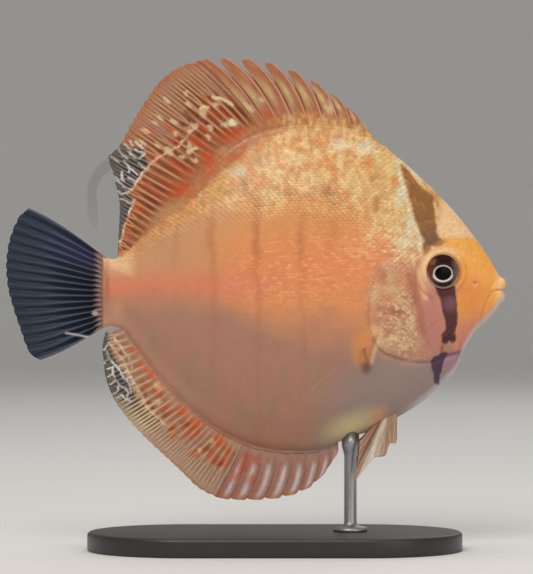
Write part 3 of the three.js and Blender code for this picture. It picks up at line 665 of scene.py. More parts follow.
headAt = {
    "browRow": 240, "browRows": (236, 241), "headColumns": (428, 440),
    "faceColumns": (438, 446), "deepFace": (468, 296, 20, 22),
    "jawColumn": 470, "jawRows": (304, 330), "cheekRows": (328, 348),
    "eyeColumn": 443, "eyeRow": 272, "lidRows": (276, 288), "foldRows": (255, 266),
    "mouthRow": 288, "lipColumns": (490, 499), "snoutSpot": (474, 285, 2.4, 2.4),
    "throatColumn": 440, "throatRows": (352, 360), "throatColumns": (414, 434),
    "throatOval": (450, 360, 12, 7, -12),
    "throatLine": [(416, 361), (424, 362), (434, 360)],
    "jawLine": [(442, 356), (452, 353), (463, 351)],
    "rimColumns": (392, 424),
    "strawOval": (352, 426, 24, 12, -22),
}


def paintHead(colour, x, z, px, py, patch, fine):
    # pale forehead, orange face and lips, the rings round the eye, and the throat
    w, at = washes, headAt
    slant = py - at["browRow"]
    brow = soft(px + 0.2 * slant, *at["headColumns"]) * (1 - soft(py, *at["browRows"]))
    colour = wash(colour, brow, w["forehead"])
    colour = wash(colour, 0.2 * brow * soft(patch + fine, 0.0, 0.25), w["gold"])
    face = soft(px - 0.12 * slant, *at["faceColumns"]) * soft(py + 3 * fine, *at["browRows"])
    colour = wash(colour, 0.97 * face, w["face"])
    colour = wash(colour, 0.75 * face * oval(px, py, at["deepFace"], 0.8), w["deepFace"])
    lowFace = face * soft(py + 0.2 * (px - at["jawColumn"]), *at["jawRows"])
    colour = wash(colour, 0.9 * lowFace, w["jaw"])
    colour = wash(colour, 0.6 * lowFace * soft(py, *at["cheekRows"]), w["cheek"])
    behind, under = at["eyeColumn"] - px, py - at["eyeRow"]
    eyeDistance = np.hypot(x - eye["centre"][0], z - eye["centre"][1])
    ring = hump(eyeDistance, 6.7, 1.25)
    fold = hump(eyeDistance, 9.2, 0.8) * soft(behind, 6, 14) * soft(py, *at["foldRows"])
    colour = wash(colour, 0.9 * ring * soft(behind - 0.9 * under, -14, 12), w["pale"])
    colour = wash(colour, 0.55 * ring * soft(py + 0.2 * behind, *at["lidRows"]), w["cheek"])
    colour = wash(colour, 0.75 * fold, w["preopercle"])
    lips = soft(px - 0.06 * np.abs(py - at["mouthRow"]), *at["lipColumns"])
    colour = wash(colour, 0.85 * lips, w["lips"])
    colour = wash(colour, 0.6 * oval(px, py, at["snoutSpot"], 0.9), w["pale"])
    throat = soft(py + 0.25 * (px - at["throatColumn"]), *at["throatRows"])
    colour = wash(colour, 0.75 * throat * soft(px, *at["throatColumns"]), w["breast"])
    colour = wash(colour, 0.75 * oval(px, py, at["throatOval"], 0.8), w["throat"])
    colour = wash(colour, 0.6 * stroke(px, py, at["throatLine"], 1.8, 0.8), w["throat"] * 0.7)
    colour = wash(colour, 0.7 * stroke(px, py, at["jawLine"], 1.5, 0.7), w["plum"])
    rim = soft(bellyHeight(x) - z, -3.4, -0.6) * soft(px, *at["rimColumns"])
    colour = wash(colour, 0.8 * rim, w["pearl"])
    return wash(colour, 0.8 * oval(px, py, at["strawOval"], 0.9), w["straw"])


darkAt = {
    "chalkColumn": 424,
    "napeRows": (210, 242),
    "napeSmears": [(426, 250, 3, 5, 30), (439, 243, 6, 2.5, -15)],
    "barGlow": (449, 304, 7, 7),
    "chinLine": [(441, 346), (440, 355)],
}
rootAt = {
    "orange": (361, 346, 10, 19, 6),
    "brownLine": [(376, 333), (369, 349), (366, 363)],
    "paleLine": [(380, 334), (373, 350), (370, 362)],
    "pale": (374, 330, 5, 5),
    "pelvic": (378, 414, 9, 6, -25),
    "smear": (365, 367, 4.5, 5.5),
}


def paintDarkMarks(colour, px, py, patch, fine):
    # the nape's wedge, the bar through the eye and the mark on the chin
    w, at = washes, darkAt
    wanderX, wanderY = px + 1.6 * fine, py + 1.8 * (cloud(px, py, 4.5, 21) - 0.5)
    gap = insideDistance(wanderX, wanderY, napeOutline)
    colour = wash(colour, 0.6 * hump(gap, -3.2, 2.2) * soft(at["chalkColumn"] - px, -2, 6), w["chalk"])
    nape = wash(baseCoat(px, w["nape"]), 0.6 * soft(patch + fine, -0.05, 0.3), w["napeWarm"])
    nape = wash(nape, 0.75 * soft(py, *at["napeRows"]), w["nape"] * 0.4)
    colour = wash(colour, 0.94 * soft(gap, -1.2, 1.2), nape)
    colour = daub(colour, wanderX, wanderY, at["napeSmears"], w["napeWarm"], 0.8)
    bar = insideDistance(px + 1.5 * fine, py + 1.5 * fine, eyeBarOutline)
    dusk = wash(baseCoat(px, w["maroon"]), oval(px, py, at["barGlow"], 0.6), w["plum"])
    colour = wash(colour, 0.96 * soft(bar, -0.9, 1.0), dusk)
    colour = daub(colour, wanderX, wanderY, cheekBlots, w["maroon"], 0.92, 0.25)
    chin = insideDistance(wanderX, wanderY, chinOutline)
    colour = wash(colour, 0.93 * soft(chin, -0.8, 0.8), w["violet"])
    return wash(colour, 0.5 * stroke(px, py, at["chinLine"], 1.6, 0.8), w["violet"])


def paintRoots(colour, px, py):
    # orange roots of the pectoral and pelvic fins
    w, at = washes, rootAt
    colour = wash(colour, 0.85 * oval(px, py, at["orange"], 0.55), w["orange"])
    colour = wash(colour, 0.65 * stroke(px, py, at["brownLine"], 2.0, 0.8), w["brown"])
    colour = wash(colour, 0.5 * stroke(px, py, at["paleLine"], 1.8, 0.8), w["pale"])
    colour = wash(colour, 0.5 * oval(px, py, at["pale"], 0.9), w["pale"])
    colour = wash(colour, 0.4 * oval(px, py, at["pelvic"], 0.9), w["orange"])
    # a dark oval just under the pectoral fin's root
    return wash(colour, 0.75 * oval(px, py, at["smear"], 0.8), w["smear"])


# columns where the painted light on the belly's rim and the darkening above the back fade out
paintedRimAt = {"belly": (330, 400), "back": (300, 360)}


def paintSkin(x, z):
    px, py = inPhoto(x, z)
    patch, fine = cloud(px, py, 9, 9) - 0.5, cloud(px, py, 3.4, 5) - 0.5
    colour = paintFlank(px, py, patch, fine)
    colour = paintGill(colour, px, py, insideDistance(x, z, gillOutline), patch, fine)
    colour = paintHead(colour, x, z, px, py, patch, fine)
    colour = paintDarkMarks(colour, px, py, patch, fine)
    colour = paintRoots(colour, px, py)
    colour = wash(colour, 0.5 * hump(z, 0.05, 0.2) * soft(x, 75.8, 76.8), washes["brown"])     # mouth: painted shade in the seam between the lips
    # painted shade in the nostril's pit
    toNostril = np.hypot(x - nostril[0], z - nostril[1])
    colour = wash(colour, 0.7 * hump(toNostril, 0, 0.45), washes["brown"])
    # painted light: the flank is painted lighter where it turns under towards the anal fin, against the shade
    # that falls there, and a little darker on the ridge above the back's line towards the tail
    paintedRimLight = 1 + 0.34 * (1 - soft(z - bellyHeight(x), 0, 10)) * (1 - soft(px, *paintedRimAt["belly"]))
    paintedRimLight = paintedRimLight - 0.07 * soft(z - backHeight(x), -0.5, 1) * (1 - soft(px, *paintedRimAt["back"]))
    return colour * (paintedRimLight * (1 + 0.08 * fine + 0.05 * patch))[..., None]


scalyMiddle = (330, 265, 110, 55)


def scaleStrength(x, z):
    # how clearly the scales show: most on the back and the gill cover, hardly at all low on the flank
    px, py = inPhoto(x, z)
    back = soft(backEdge(px) + 12 - py, -14, 14)
    cover = soft(insideDistance(x, z, gillOutline), -1, 1.5)
    middle = oval(px, py, scalyMiddle, 0.8)
    onFin = 1 - soft(py - finBorder(px), -4, 4)
    return np.clip(0.03 + (0.75 * back + 0.40 * cover + 0.15 * middle) * (1 - 0.6 * onFin), 0, 1)


skinFinish, skinTree, skinShader = newMaterial(
    "wetSkin", Roughness=0.42, Specular_IOR_Level=0.35, Coat_Weight=0.15, Coat_Roughness=0.2,
    Subsurface_Weight=0.03, Subsurface_Radius=(1.0, 0.45, 0.3), Subsurface_Scale=0.0010)
skinFine = paintedColour(skinTree, skinShader, "paint", 0.9)
bumpFrom(skinTree, skinShader, skinFine, 0.2, 0.10)

scaleFinish, scaleTree, scaleShader = newMaterial(
    "scalePlates", Roughness=0.38, Specular_IOR_Level=0.32, Coat_Weight=0.16, Coat_Roughness=0.2)
scaleFine = paintedColour(scaleTree, scaleShader, "paint", 0.55)
bumpFrom(scaleTree, scaleShader, scaleFine, 0.15, 0.06)


# skin: one closed surface from the lips to the tail's root

skinGrid = {"around": 190, "bodyStep": 0.80, "headStep": 0.36, "headStart": 30}


def buildSkin():
    step, headStep, headStart = skinGrid["bodyStep"], skinGrid["headStep"], skinGrid["headStart"]
    stations = [body["tailEnd"]]
    while stations[-1] < body["snoutEnd"]:
        head = float(soft(stations[-1], headStart, headStart + 12))
        stations.append(stations[-1] + step + (headStep - step) * head)
    stations[-1] = body["snoutEnd"]
    x = np.array(stations)
    around = skinGrid["around"]
    t = np.linspace(0, 1, around)
    lean = 0.42 * np.cos(np.pi * t) + 0.58 * (1 - 2 * t)          # rows crowd a little towards both keels
    top = (backHeight(x) + sheath["back"](x))[:, None]
    bottom = (bellyHeight(x) - sheath["belly"](x))[:, None]
    z = (top + bottom) / 2 + (top - bottom) / 2 * lean
    xx = np.broadcast_to(x[:, None], z.shape)
    y = sideAt(xx, z)
    y[:, 0] = y[:, -1] = 0
    nx, ny, nz = sideNormal(xx, z)
    relief = reliefAt(xx, z) * soft(y, 0.7, 2.4)
    px, py, pz = xx + nx * relief, y + ny * relief, z + nz * relief

    def cap(row, steps):          # an end ring closes onto the middle plane
        shares = np.linspace(1, 0, steps + 1)[1:, None]
        return (np.repeat(px[row:row + 1], steps, 0), py[row] * shares, np.repeat(pz[row:row + 1], steps, 0))
    snout, tail = cap(len(x) - 1, 12), cap(0, 3)
    px = np.concatenate([tail[0][::-1], px, snout[0]])
    py = np.concatenate([tail[1][::-1], py, snout[1]])
    pz = np.concatenate([tail[2][::-1], pz, snout[2]])
    px, py, pz = swellLips(px, py, pz)
    points, faces, colours, grains = [], [], [], []
    columns = len(px)
    quads = gridQuads(columns, around)
    for side in (-1, 1):
        points.append(np.stack([px, side * py, pz + midline], -1).reshape(-1, 3))
        colours.append(paintSkin(px, pz).reshape(-1, 3))
        grains.append(0.04 + 0.12 * scaleStrength(px, pz).ravel())
        faces.append((quads if side > 0 else quads[:, ::-1]) + (0 if side < 0 else columns * around))
    skin = makeMesh("skin", np.concatenate(points), np.concatenate(faces), skinFinish, weld=True,
                    colours={"paint": np.concatenate(colours)}, floats={"grain": np.concatenate(grains)})
    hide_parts("head", "lower_jaw", "gill_cover_right", "gill_cover_left", "trunk", "tail_base")
    return skin


buildSkin()
print("skin made")


# scales: rounded plates in staggered rows, rooted towards the head

scales = {
    "pitch": 1.6, "rowPitch": 0.94, "length": 1.32, "width": 0.62, "lift": 0.085,
    "rear": -46.6, "front": 60, "deepest": 51.5, "spare": 6,
    "dotted": (318, 268, 78, 36, -8),        # the photograph's oval of cream dots along the flank
    "bakeFrom": (52, 60), "bakeScale": (1 / 140, 1.1 / 140), "bakePatch": 0.003,
}
plate = {                     # from its root to its free edge, and across; gleam places the painted highlight and shade the painted shade
    "back": [0, 0.45, 0.84, 1.0],
    "spread": [0.8, 1.12, 1.0, 0.72],
    "lift": [-0.4, 0.4, 1.0, 0.6],
    "gleam": [0.0, 0.6, 1.0, 0.6],
    "shade": [1.0, 0.1, 0.0, 0.75],
    "across": [-1, -0.5, 0, 0.5, 1],
}


def scalePlaces(wander):
    # staggered rows over the whole side, less its bare places
    deepest, spare, pitch = scales["deepest"], scales["spare"], scales["pitch"]
    places = []
    for row in range(int(2 * (deepest + spare) / scales["rowPitch"])):
        r = (row + 0.5) * scales["rowPitch"] - deepest - spare
        x = np.arange(scales["rear"], scales["front"], pitch) + (row % 2) * pitch / 2
        top, bottom = backHeight(x), bellyHeight(x)
        shrink = ((top - bottom) / 2 / deepest) ** 0.35
        z = (top + bottom) / 2 + r * shrink
        keep = (z < top + 0.4) & (z > bottom - 0.3) & (sideAt(x, z) > 0.45)
        places.append(np.stack([x, z, shrink], 1)[keep])
    x, z, shrink = np.concatenate(places).T
    x = x + wander.normal(0, 0.08, len(x))
    z = z + wander.normal(0, 0.05, len(z))
    # none on the bare face, throat and forehead, or over the eye
    eyeDistance = np.hypot(x - eye["centre"][0], z - eye["centre"][1])
    bare = (x + 0.18 * z > 55.5) | (eyeDistance < 8.8) | ((z < -18) & (x - 0.55 * z > 53.5))
    # the topmost and lowest thin out towards the fins
    edge = np.minimum(backHeight(x) + 0.6 - z, z - bellyHeight(x) + 0.4)
    bare |= wander.random(len(x)) > soft(edge, -1.6, 1.6) + 0.15
    return x[~bare], z[~bare], shrink[~bare]


def perPlate(values):
    return values[:, None, None]


def buildScales(name, side, seed):
    wander = np.random.default_rng(seed)
    x, z, shrink = scalePlaces(wander)
    count = len(x)
    clear = scaleStrength(x, z)
    small = 1 - 0.18 * soft(insideDistance(x, z, gillOutline), -1, 1) - 0.22 * soft(x, 40, 54)
    length = scales["length"] * (0.55 + 0.45 * shrink) * small
    width = scales["width"] * shrink * (0.9 + 0.1 * small) * wander.uniform(0.94, 1.06, count)
    back, across = np.meshgrid(plate["back"], plate["across"], indexing="ij")
    rows = ("spread", "lift", "gleam", "shade")
    spread, lifts, gleam, shade = (np.array(plate[row])[:, None] for row in rows)
    reach = back - 0.30 * across ** 2 * (back > 0.4) * back          # the free edge is round
    vx = perPlate(x) + perPlate(length) * (0.5 - 2 * reach)
    vz = perPlate(z) + perPlate(width) * (spread * across)
    lift = lifts * (1 - 0.35 * across ** 2) * perPlate(scales["lift"] * (0.03 + 0.97 * clear))
    nx, ny, nz = sideNormal(vx, vz)
    y = sideAt(vx, vz)
    out = reliefAt(vx, vz) * soft(y, 0.7, 2.4) + lift + 0.03
    points = np.stack([vx + nx * out, side * (y + ny * out), vz + nz * out + midline], -1)
    # markings, with painted highlights on the plates, painted shade at their roots where they lie under the
    # plate before, and darker free edges, partly the scales' own rims and partly painted shade
    colour = paintSkin(vx, vz)
    # the flank's cream dots become extra pale flecks on the plates, partly the dots' own colour, partly
    # painted highlight
    dotted = oval(*inPhoto(x, z), scales["dotted"], 0.7)
    glints = 0.55 * clear ** 1.4 * wander.uniform(0.1, 1.6, count) + 0.85 * dotted * wander.random(count) ** 2
    bright = np.minimum(colour * 1.25 + ink(90, 84, 66), 1)
    colour = wash(colour, perPlate(glints) * ((1 - across ** 2) * gleam), bright)
    shading = 1 - perPlate(clear ** 1.3 * 0.36) * (shade * (0.5 + 0.5 * across ** 2))
    tone = 1 + (wander.normal(1, 0.05, count) - 1) * clear
    colour = colour * (shading * perPlate(tone))[..., None]
    # on the bake map each plate is a small patch where its root lies on the unwrapped side
    (startU, startV), (scaleU, scaleV), patch = scales["bakeFrom"], scales["bakeScale"], scales["bakePatch"]
    mapU = perPlate((x + startU) * scaleU) + patch * (back - 0.5)
    mapV = perPlate((z + startV) * scaleV) + patch * 0.5 * across
    quads = gridQuads(*back.shape)
    quads = quads if side < 0 else quads[:, ::-1]
    faces = (perPlate(np.arange(count)) * back.size + quads).reshape(-1, 4)
    makeMesh(name, points, faces, scaleFinish, colours={"paint": colour},
             floats={"grain": np.repeat(0.03 + 0.13 * clear, back.size)},
             bakeMap=np.stack([mapU, mapV], -1).reshape(-1, 2))
    print(name, count, "plates")


buildScales("scales_right", -1, 11)
buildScales("scales_left", 1, 12)


# fins

def finFinish(name, roughness, glow, gloss):
    material, tree, shader = newMaterial(
        name, Roughness=roughness, Specular_IOR_Level=gloss, Coat_Weight=0.4 * gloss, Coat_Roughness=0.2,
        Subsurface_Weight=glow, Subsurface_Radius=(1.0, 0.5, 0.35), Subsurface_Scale=0.0008)
    fine = paintedColour(tree, shader, "paint", 0.5)
    clear = addNode(tree, "ShaderNodeAttribute", attribute_name="cover")
    tree.links.new(clear.outputs["Fac"], shader.inputs["Alpha"])
    bumpFrom(tree, shader, fine, 0.18, 0.08)
    return material


orangeFin = finFinish("rayedFin", 0.42, 0.1, 0.25)
slateFin = finFinish("tailFinMembrane", 0.40, 0.0, 0.08)
clearFin = finFinish("clearFin", 0.3, 0.0, 0.2)


def rayPattern(phase, share, split=(0.42, 0.74)):
    # 1 on a ray and 0 between rays: each ray forks twice on its way to the edge
    off = np.abs(phase - np.round(phase))
    first, second = soft(share, split[0], split[0] + 0.3), soft(share, split[1], split[1] + 0.2)
    one = hump(off, 0.24 * first, 0.17 - 0.05 * first)
    twoA = hump(off, 0.24 * first + 0.11 * second, 0.12 - 0.045 * second)
    twoB = hump(off, 0.24 * first - 0.11 * second, 0.12 - 0.045 * second)
    return np.clip(np.where(second > 0, np.maximum(twoA, twoB), one), 0, 1)


def sheetMesh(name, x, y, z, half, across, material, colour, cover, node):
    # a closed two-faced sheet on a grid of middle points, half as thick to each side
    columns, rows = x.shape
    faces = gridQuads(columns, rows)
    middle = np.stack([x, y, z + midline], -1)
    offset = np.stack([half * part for part in across], -1)
    points = np.concatenate([(middle + offset).reshape(-1, 3), (middle - offset).reshape(-1, 3)])
    count = columns * rows
    ring = np.concatenate([np.arange(columns) * rows, (columns - 1) * rows + np.arange(1, rows),
                           np.arange(columns - 2, -1, -1) * rows + rows - 1, np.arange(rows - 2, 0, -1)])
    following = np.roll(ring, -1)
    rim = np.stack([ring, following, following + count, ring + count], 1)
    allFaces = np.concatenate([faces[:, ::-1], faces + count, rim])
    colours = {"paint": np.concatenate([colour.reshape(-1, 3)] * 2)}
    floats = {"cover": np.concatenate([cover.ravel()] * 2), "grain": np.full(2 * count, 0.10)}
    piece = makeMesh(name, points, allFaces, material, colours=colours, floats=floats)
    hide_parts(node)


def fanOut(rootX, rootZ, tipX, tipZ, share, bow):
    # points along rays that bow forward between their roots and tips
    chordX, chordZ = (tipX - rootX)[:, None], (tipZ - rootZ)[:, None]
    swing = (5.4 * share ** 1.5 * (1 - share)) * bow[:, None]
    return rootX[:, None] + chordX * share + chordZ * swing, rootZ[:, None] + chordZ * share - chordX * swing


def medianGrid(bases, baseLine, tipX, tipZ, reach, bow, rows, sink=0.8):
    # middle points of a fin on the middle plane, from just under the skin to its edge
    baseZ = baseLine(bases)
    dx, dz = tipX - bases, tipZ - baseZ
    size = np.hypot(dx, dz)
    share = np.linspace(0, 1, rows)[None, :] * reach[:, None]
    x, z = fanOut(bases - dx / size * sink, baseZ - dz / size * sink, tipX, tipZ, share, bow)
    return x, z, share


dorsal = {
    "bases": [37.6, 34.4, 30.8, 26.9, 22.1, 17.4, 12.9, 8.6, 4.8, 2.7],
    "tips": [(35.8, 51.3), (31.8, 56.3), (26.5, 61.1), (20.2, 65.7), (13.2, 69.6), (5.5, 72.4), (-2, 73.9),
             (-9.3, 74.1), (-15.5, 73.8), (-19, 73.3)],
    "bows": [0.075] * 7 + [0.07, 0.055, 0.03],
    "rays": 29,
    "rayBases": (2.7, -42.9),
    "edge": edgePath([
        [0, -19, 73.3], [0.06, -24, 71.9], [0.16, -30.1, 67.8], [0.3, -36.2, 59.6], [0.43, -40.4, 52.6],
        [0.51, -44, 46], [0.58, -47.4, 42.4], [0.66, -45.5, 36], [0.79, -43.7, 26], [0.89, -44, 18],
        [1, -44.3, 11.4]]),
}
anal = {
    "bases": [26.2, 23.9, 20.4, 16, 11.5, 6.7, 2.1, -1.9, -3.9],
    "tips": [(25.9, -52.6), (21.9, -58.8), (17.3, -63.1), (12.6, -65.3), (7.3, -66.6), (1.7, -67.1),
             (-3.9, -67.2), (-9, -67), (-13, -66.2)],
    "bows": [-0.06] * 7 + [-0.03, 0.0],
    "rays": 27,
    "rayBases": (-3.9, -43),
    "edge": edgePath([
        [0, -13, -66.2], [0.07, -17.6, -64], [0.19, -24.3, -57.8], [0.29, -28, -54.3], [0.45, -35.6, -47.2],
        [0.6, -41.8, -40.4], [0.72, -46.4, -33.2], [0.82, -48.6, -25.8], [0.91, -49.2, -18.6],
        [1, -48.3, -13.6]]),
}
slit = {                      # the free edge's drop across one lobe, from its spine to the next
    "at": [0, 0.06, 0.3, 0.45, 0.58, 0.7, 0.80, 0.875, 0.90, 0.945, 1],
    "drop": [0.06, 0, 0.01, 0.08, 0.22, 0.44, 0.7, 1, 0.96, 0.1, 0.06],
}


def spinyFin(name, fin, baseLine, slitDepth, painter, node):
    spines = len(fin["tips"]) - 1
    perLobe, rows = 36, 56
    u = np.linspace(0, spines, spines * perLobe + 1)
    knots = np.arange(spines + 1)
    bases = np.interp(u, knots, fin["bases"])
    tipX = np.interp(u, knots, [t[0] for t in fin["tips"]])
    tipZ = np.interp(u, knots, [t[1] for t in fin["tips"]])
    bow = np.interp(u, knots, fin["bows"])
    lobe = np.floor(np.clip(u, 0, spines - 1e-6))
    part = u - lobe
    depth = np.where(lobe < spines - 1, slitDepth(lobe / (spines - 1)), 0)
    reach = 1 - depth * np.interp(part, slit["at"], slit["drop"])
    x, z, share = medianGrid(bases, baseLine, tipX, tipZ, reach, bow, rows)
    ahead = np.minimum(part, 1 - part)[:, None] * np.ones_like(share)
    spine = hump(ahead, 0, 0.085)
    half = ((0.50 - 0.32 * share) * spine + 0.26 - 0.14 * share) * (0.6 + 0.4 * soft(share, 0.05, 0.25))
    y = 0.10 * np.sin(2 * np.pi * part)[:, None] * share
    colour, cover = painter(x, z, u[:, None] + 0 * share, share)
    sheetMesh(name, x, y, z, half, (0, 1, 0), orangeFin, colour, cover, node)


def softGrid(fin, baseLine, firstBow, columnsPerRay=12, rows=104, fringe=0.012):
    rays = fin["rays"]
    u = np.linspace(0, 1, (rays - 1) * columnsPerRay + 1)
    phase = u * (rays - 1)
    bases = np.interp(u, [0, 1], fin["rayBases"])
    tipX, tipZ = fin["edge"](u)
    off = np.abs(phase - np.round(phase))
    ragged = 0.5 * np.sin(phase * 5.1) * np.sin(phase * 1.7)
    reach = 1 - fringe * (off / 0.5) ** 2 - fringe * 0.5 * (1 + ragged)
    bow = firstBow * np.maximum(0, 1 - 4 * u)
    x, z, share = medianGrid(bases, baseLine, tipX, tipZ, reach, bow, rows)
    phases = phase[:, None] + 0 * share
    ray = rayPattern(phases, share)
    half = ((0.26 - 0.17 * share) * ray + 0.28 - 0.17 * share) * (0.6 + 0.4 * soft(share, 0.05, 0.25))
    y = 0.16 * share ** 2 * np.sin(phases * 0.9)
    return x, y, z, u[:, None] + 0 * share, share, phases, ray, half


def paintSpiny(x, z, u, share):
    f = fins
    px, py = inPhoto(x, z)
    patch, fine = finNoise(px, py)
    part = u - np.floor(u)
    grainy = cloud(22 * part, 14 * share + 3 * np.floor(u), 3, 45) - 0.5
    colour = wash(baseCoat(x, f["lobe"]), 0.6 * soft(grainy, 0.0, 0.2), f["tan"])
    colour = wash(colour, 0.5 * soft(-grainy, 0.05, 0.25), f["rose"])
    window = hump(part, 0.56, 0.22) * hump(share, 0.68 - 0.03 * np.floor(u), 0.17)
    colour = wash(colour, 0.95 * window * (0.9 + grainy), f["window"])
    colour = wash(colour, 0.4 * soft(share, 0.82, 0.98), f["rimOrange"])
    colour = daub(colour, px + 4 * fine, py + 4 * fine, lobeReds, f["red"], 0.6, 0.6)
    colour = daub(colour, px + 4 * fine, py + 4 * fine, lobeCreams, f["cream"], 0.6, 0.7)
    colour = wash(colour, 0.75 * hump(part, 0.90, 0.07) * soft(share, 0.12, 0.4), f["lobeDark"])
    front = np.where(part < 0.5, hump(part, 0.0, 0.075), hump(part, 1, 0.03))
    colour = wash(colour, 0.85 * front * soft(share, 0.05, 0.25), f["lobeEdge"])
    above = z - backHeight(x)
    foot = 1 - soft(above + 5 * patch + 3 * fine, 1.6, 6.5 - 2 * soft(x, 15, 34))
    colour = wash(colour, foot * (1 - 0.5 * front), paintBack(px, py, patch, fine))
    return colour * (1 + 0.16 * fine)[..., None], np.full(x.shape, 0.98)


def paintAnalSpiny(x, z, u, share):
    f = fins
    px, py = inPhoto(x, z)
    patch, fine = finNoise(px, py)
    part = u - np.floor(u)
    grainy = cloud(20 * part, 10 * share + 3 * np.floor(u), 3, 46) - 0.5
    colour = wash(baseCoat(x, f["analLobe"]), 0.5 * soft(grainy, 0.0, 0.2), f["greenTan"])
    pale = hump(part, 0.34, 0.17) * soft(share, 0.22, 0.5)
    colour = wash(colour, 0.9 * pale * (1 + grainy), f["lilac"])
    colour = wash(colour, 0.6 * hump(part, 0.72, 0.14) * soft(share, 0.2, 0.4), f["analRust"])
    colour = wash(colour, 0.7 * soft(share + 0.1 * grainy, 0.86, 0.97), f["hem"])
    colour = daub(colour, px + 4 * fine, py + 4 * fine, analLobeReds, f["red"], 0.6, 0.6)
    colour = wash(colour, 0.4 * hump(part, 0.93, 0.04) * soft(share, 0.25, 0.5), f["analDark"])
    foot = 1 - soft(bellyHeight(x) - z + 4 * patch, 0.8, 5.0)
    colour = wash(colour, foot, f["analFoot"])
    return colour * (1 + 0.16 * fine)[..., None], np.full(x.shape, 0.98)


def laceCorner(colour, px, py, patch, fine, ray, dark, corner):
    # white lace and cream threads on a fin's dark corner, and the mask of what is laced
    wanderX, wanderY = px + 3.4 * fine, py + 3.0 * (cloud(px, py, 4.2, 58) - 0.5)
    lace = np.zeros(px.shape)
    for line in corner["net"]:
        lace = np.maximum(lace, (0.8 + 0.9 * patch) * stroke(wanderX, wanderY, line, 1.05, 0.5))
    lace = np.maximum(lace, corner["rays"] * dark * ray)
    for line in corner["threads"]:
        mark = np.clip(0.75 + 1.6 * fine, 0, 1) * stroke(wanderX, wanderY, line, 1.1, 0.7)
        colour = wash(colour, 0.85 * mark, fins["thread"])
        lace = np.maximum(lace, 0.8 * dark * mark)
    return wash(colour, corner["lace"] * lace, fins["net"]), lace


dorsalCorner = {
    "margin": smooth([[140, 143], [153, 144.5], [165, 148], [172, 144], [180, 139], [193, 128.5], [200, 133],
                      [211, 130], [226, 124.5], [247, 119]]),
    "topColumn": 125, "topRows": (142, 149),
    "brightPearl": (232, 123, 4.4, 3.2, 15),
    "rays": 0.30, "lace": 0.92,
    "net": dorsalNet, "threads": dorsalThreads,
}


def paintDorsalSoft(x, z, u, share, phases, ray):
    f, at = fins, dorsalCorner
    px, py = inPhoto(x, z)
    patch, fine = finNoise(px, py)
    grainy = cloud(3.2 * phases, 16 * share, 2.2, 55) - 0.5
    broken = np.clip(1 + 2.4 * (cloud(4 * phases, 9 * share, 2.6, 59) - 0.5), 0.3, 1.6)
    upper = soft(share + 0.3 * patch, 0.42, 0.62) * (1 - soft(u, 0.34, 0.5))
    colour = wash(baseCoat(x, f["dorsalRust"]), 0.9 * upper, f["dusk"])
    colour = wash(colour, 0.5 * upper * soft(patch, 0.0, 0.2), f["mauve"])
    colour = wash(colour, 0.45 * upper * soft(grainy, -0.02, 0.15), f["tan"])
    colour = wash(colour, 0.75 * soft(grainy, 0.06, 0.2) * (1 - 0.5 * upper), f["rose"])
    colour = wash(colour, 0.7 * oval(px, py, backAt["footGold"], 0.6), f["footGold"])
    colour = wash(colour, 0.85 * soft(share, 0.90, 0.985) * (1 - soft(u, 0.36, 0.44)), f["rimOrange"])
    colour = daub(colour, px + 7 * fine, py + 7 * fine, dorsalReds, f["red"], 0.92, 0.7)
    colour = daub(colour, px + 3 * fine, py + 3 * fine, dorsalDarks, f["darkRed"], 0.8, 0.6)
    colour = wash(colour, 0.60 * (1 - ray) * soft(share, 0.08, 0.3) * broken, f["between"])
    colour = wash(colour, 0.52 * ray * soft(share, 0.08, 0.3) * broken, f["rayLight"])
    colour = daub(colour, px + 5 * fine, py + 5 * fine, dorsalPearls, f["cream"], 0.6, 0.6)
    colour = wash(colour, 0.9 * oval(px + 2 * fine, py + 2 * fine, at["brightPearl"], 0.3), f["pearl"])
    for line in dorsalCreams:
        colour = wash(colour, 0.8 * stroke(px + 3 * fine, py + 3 * fine, line, 1.7, 0.7), f["cream"])
    above, fore = z - backHeight(x), soft(x, -30, -5)
    foot = 1 - soft(above + 3.5 * patch + 2 * fine, 0.2 + 1.0 * fore, 2.6 + 3.2 * fore)
    colour = wash(colour, foot, paintBack(px, py, patch, fine))
    # beyond the cream threads the edge is clear and dark, with white lace on it
    dark = soft(at["margin"](py) - px + 2 * fine, -1.2, 2.2)
    dark = dark * soft(py - 0.3 * (px - at["topColumn"]) + 3 * patch, *at["topRows"])
    colour = wash(colour, 0.96 * dark, f["ink"])
    colour, lace = laceCorner(colour, px, py, patch, fine, ray, dark, at)
    cover = 0.98 - 0.30 * dark * (1 - lace) * soft(share, 0.7, 1.0)
    return colour * (1 + 0.14 * fine)[..., None], cover


analCorner = {
    "margin": smooth([[336, 108], [352, 112], [366, 120], [380, 128], [392, 133], [402, 139], [415, 145],
                      [432, 147]]),
    "darkRows": (398, 424), "fringeWidth": 12, "fringeRows": (392, 404), "fringeEnd": (424, 440),
    "creams": [(158, 402, 4, 3), (157, 386, 3, 5, -40), (212, 441, 3, 2.4), (200, 451, 2, 3)],
    "rays": 0.25, "lace": 0.9,
    "net": analNet, "threads": analThreads,
}


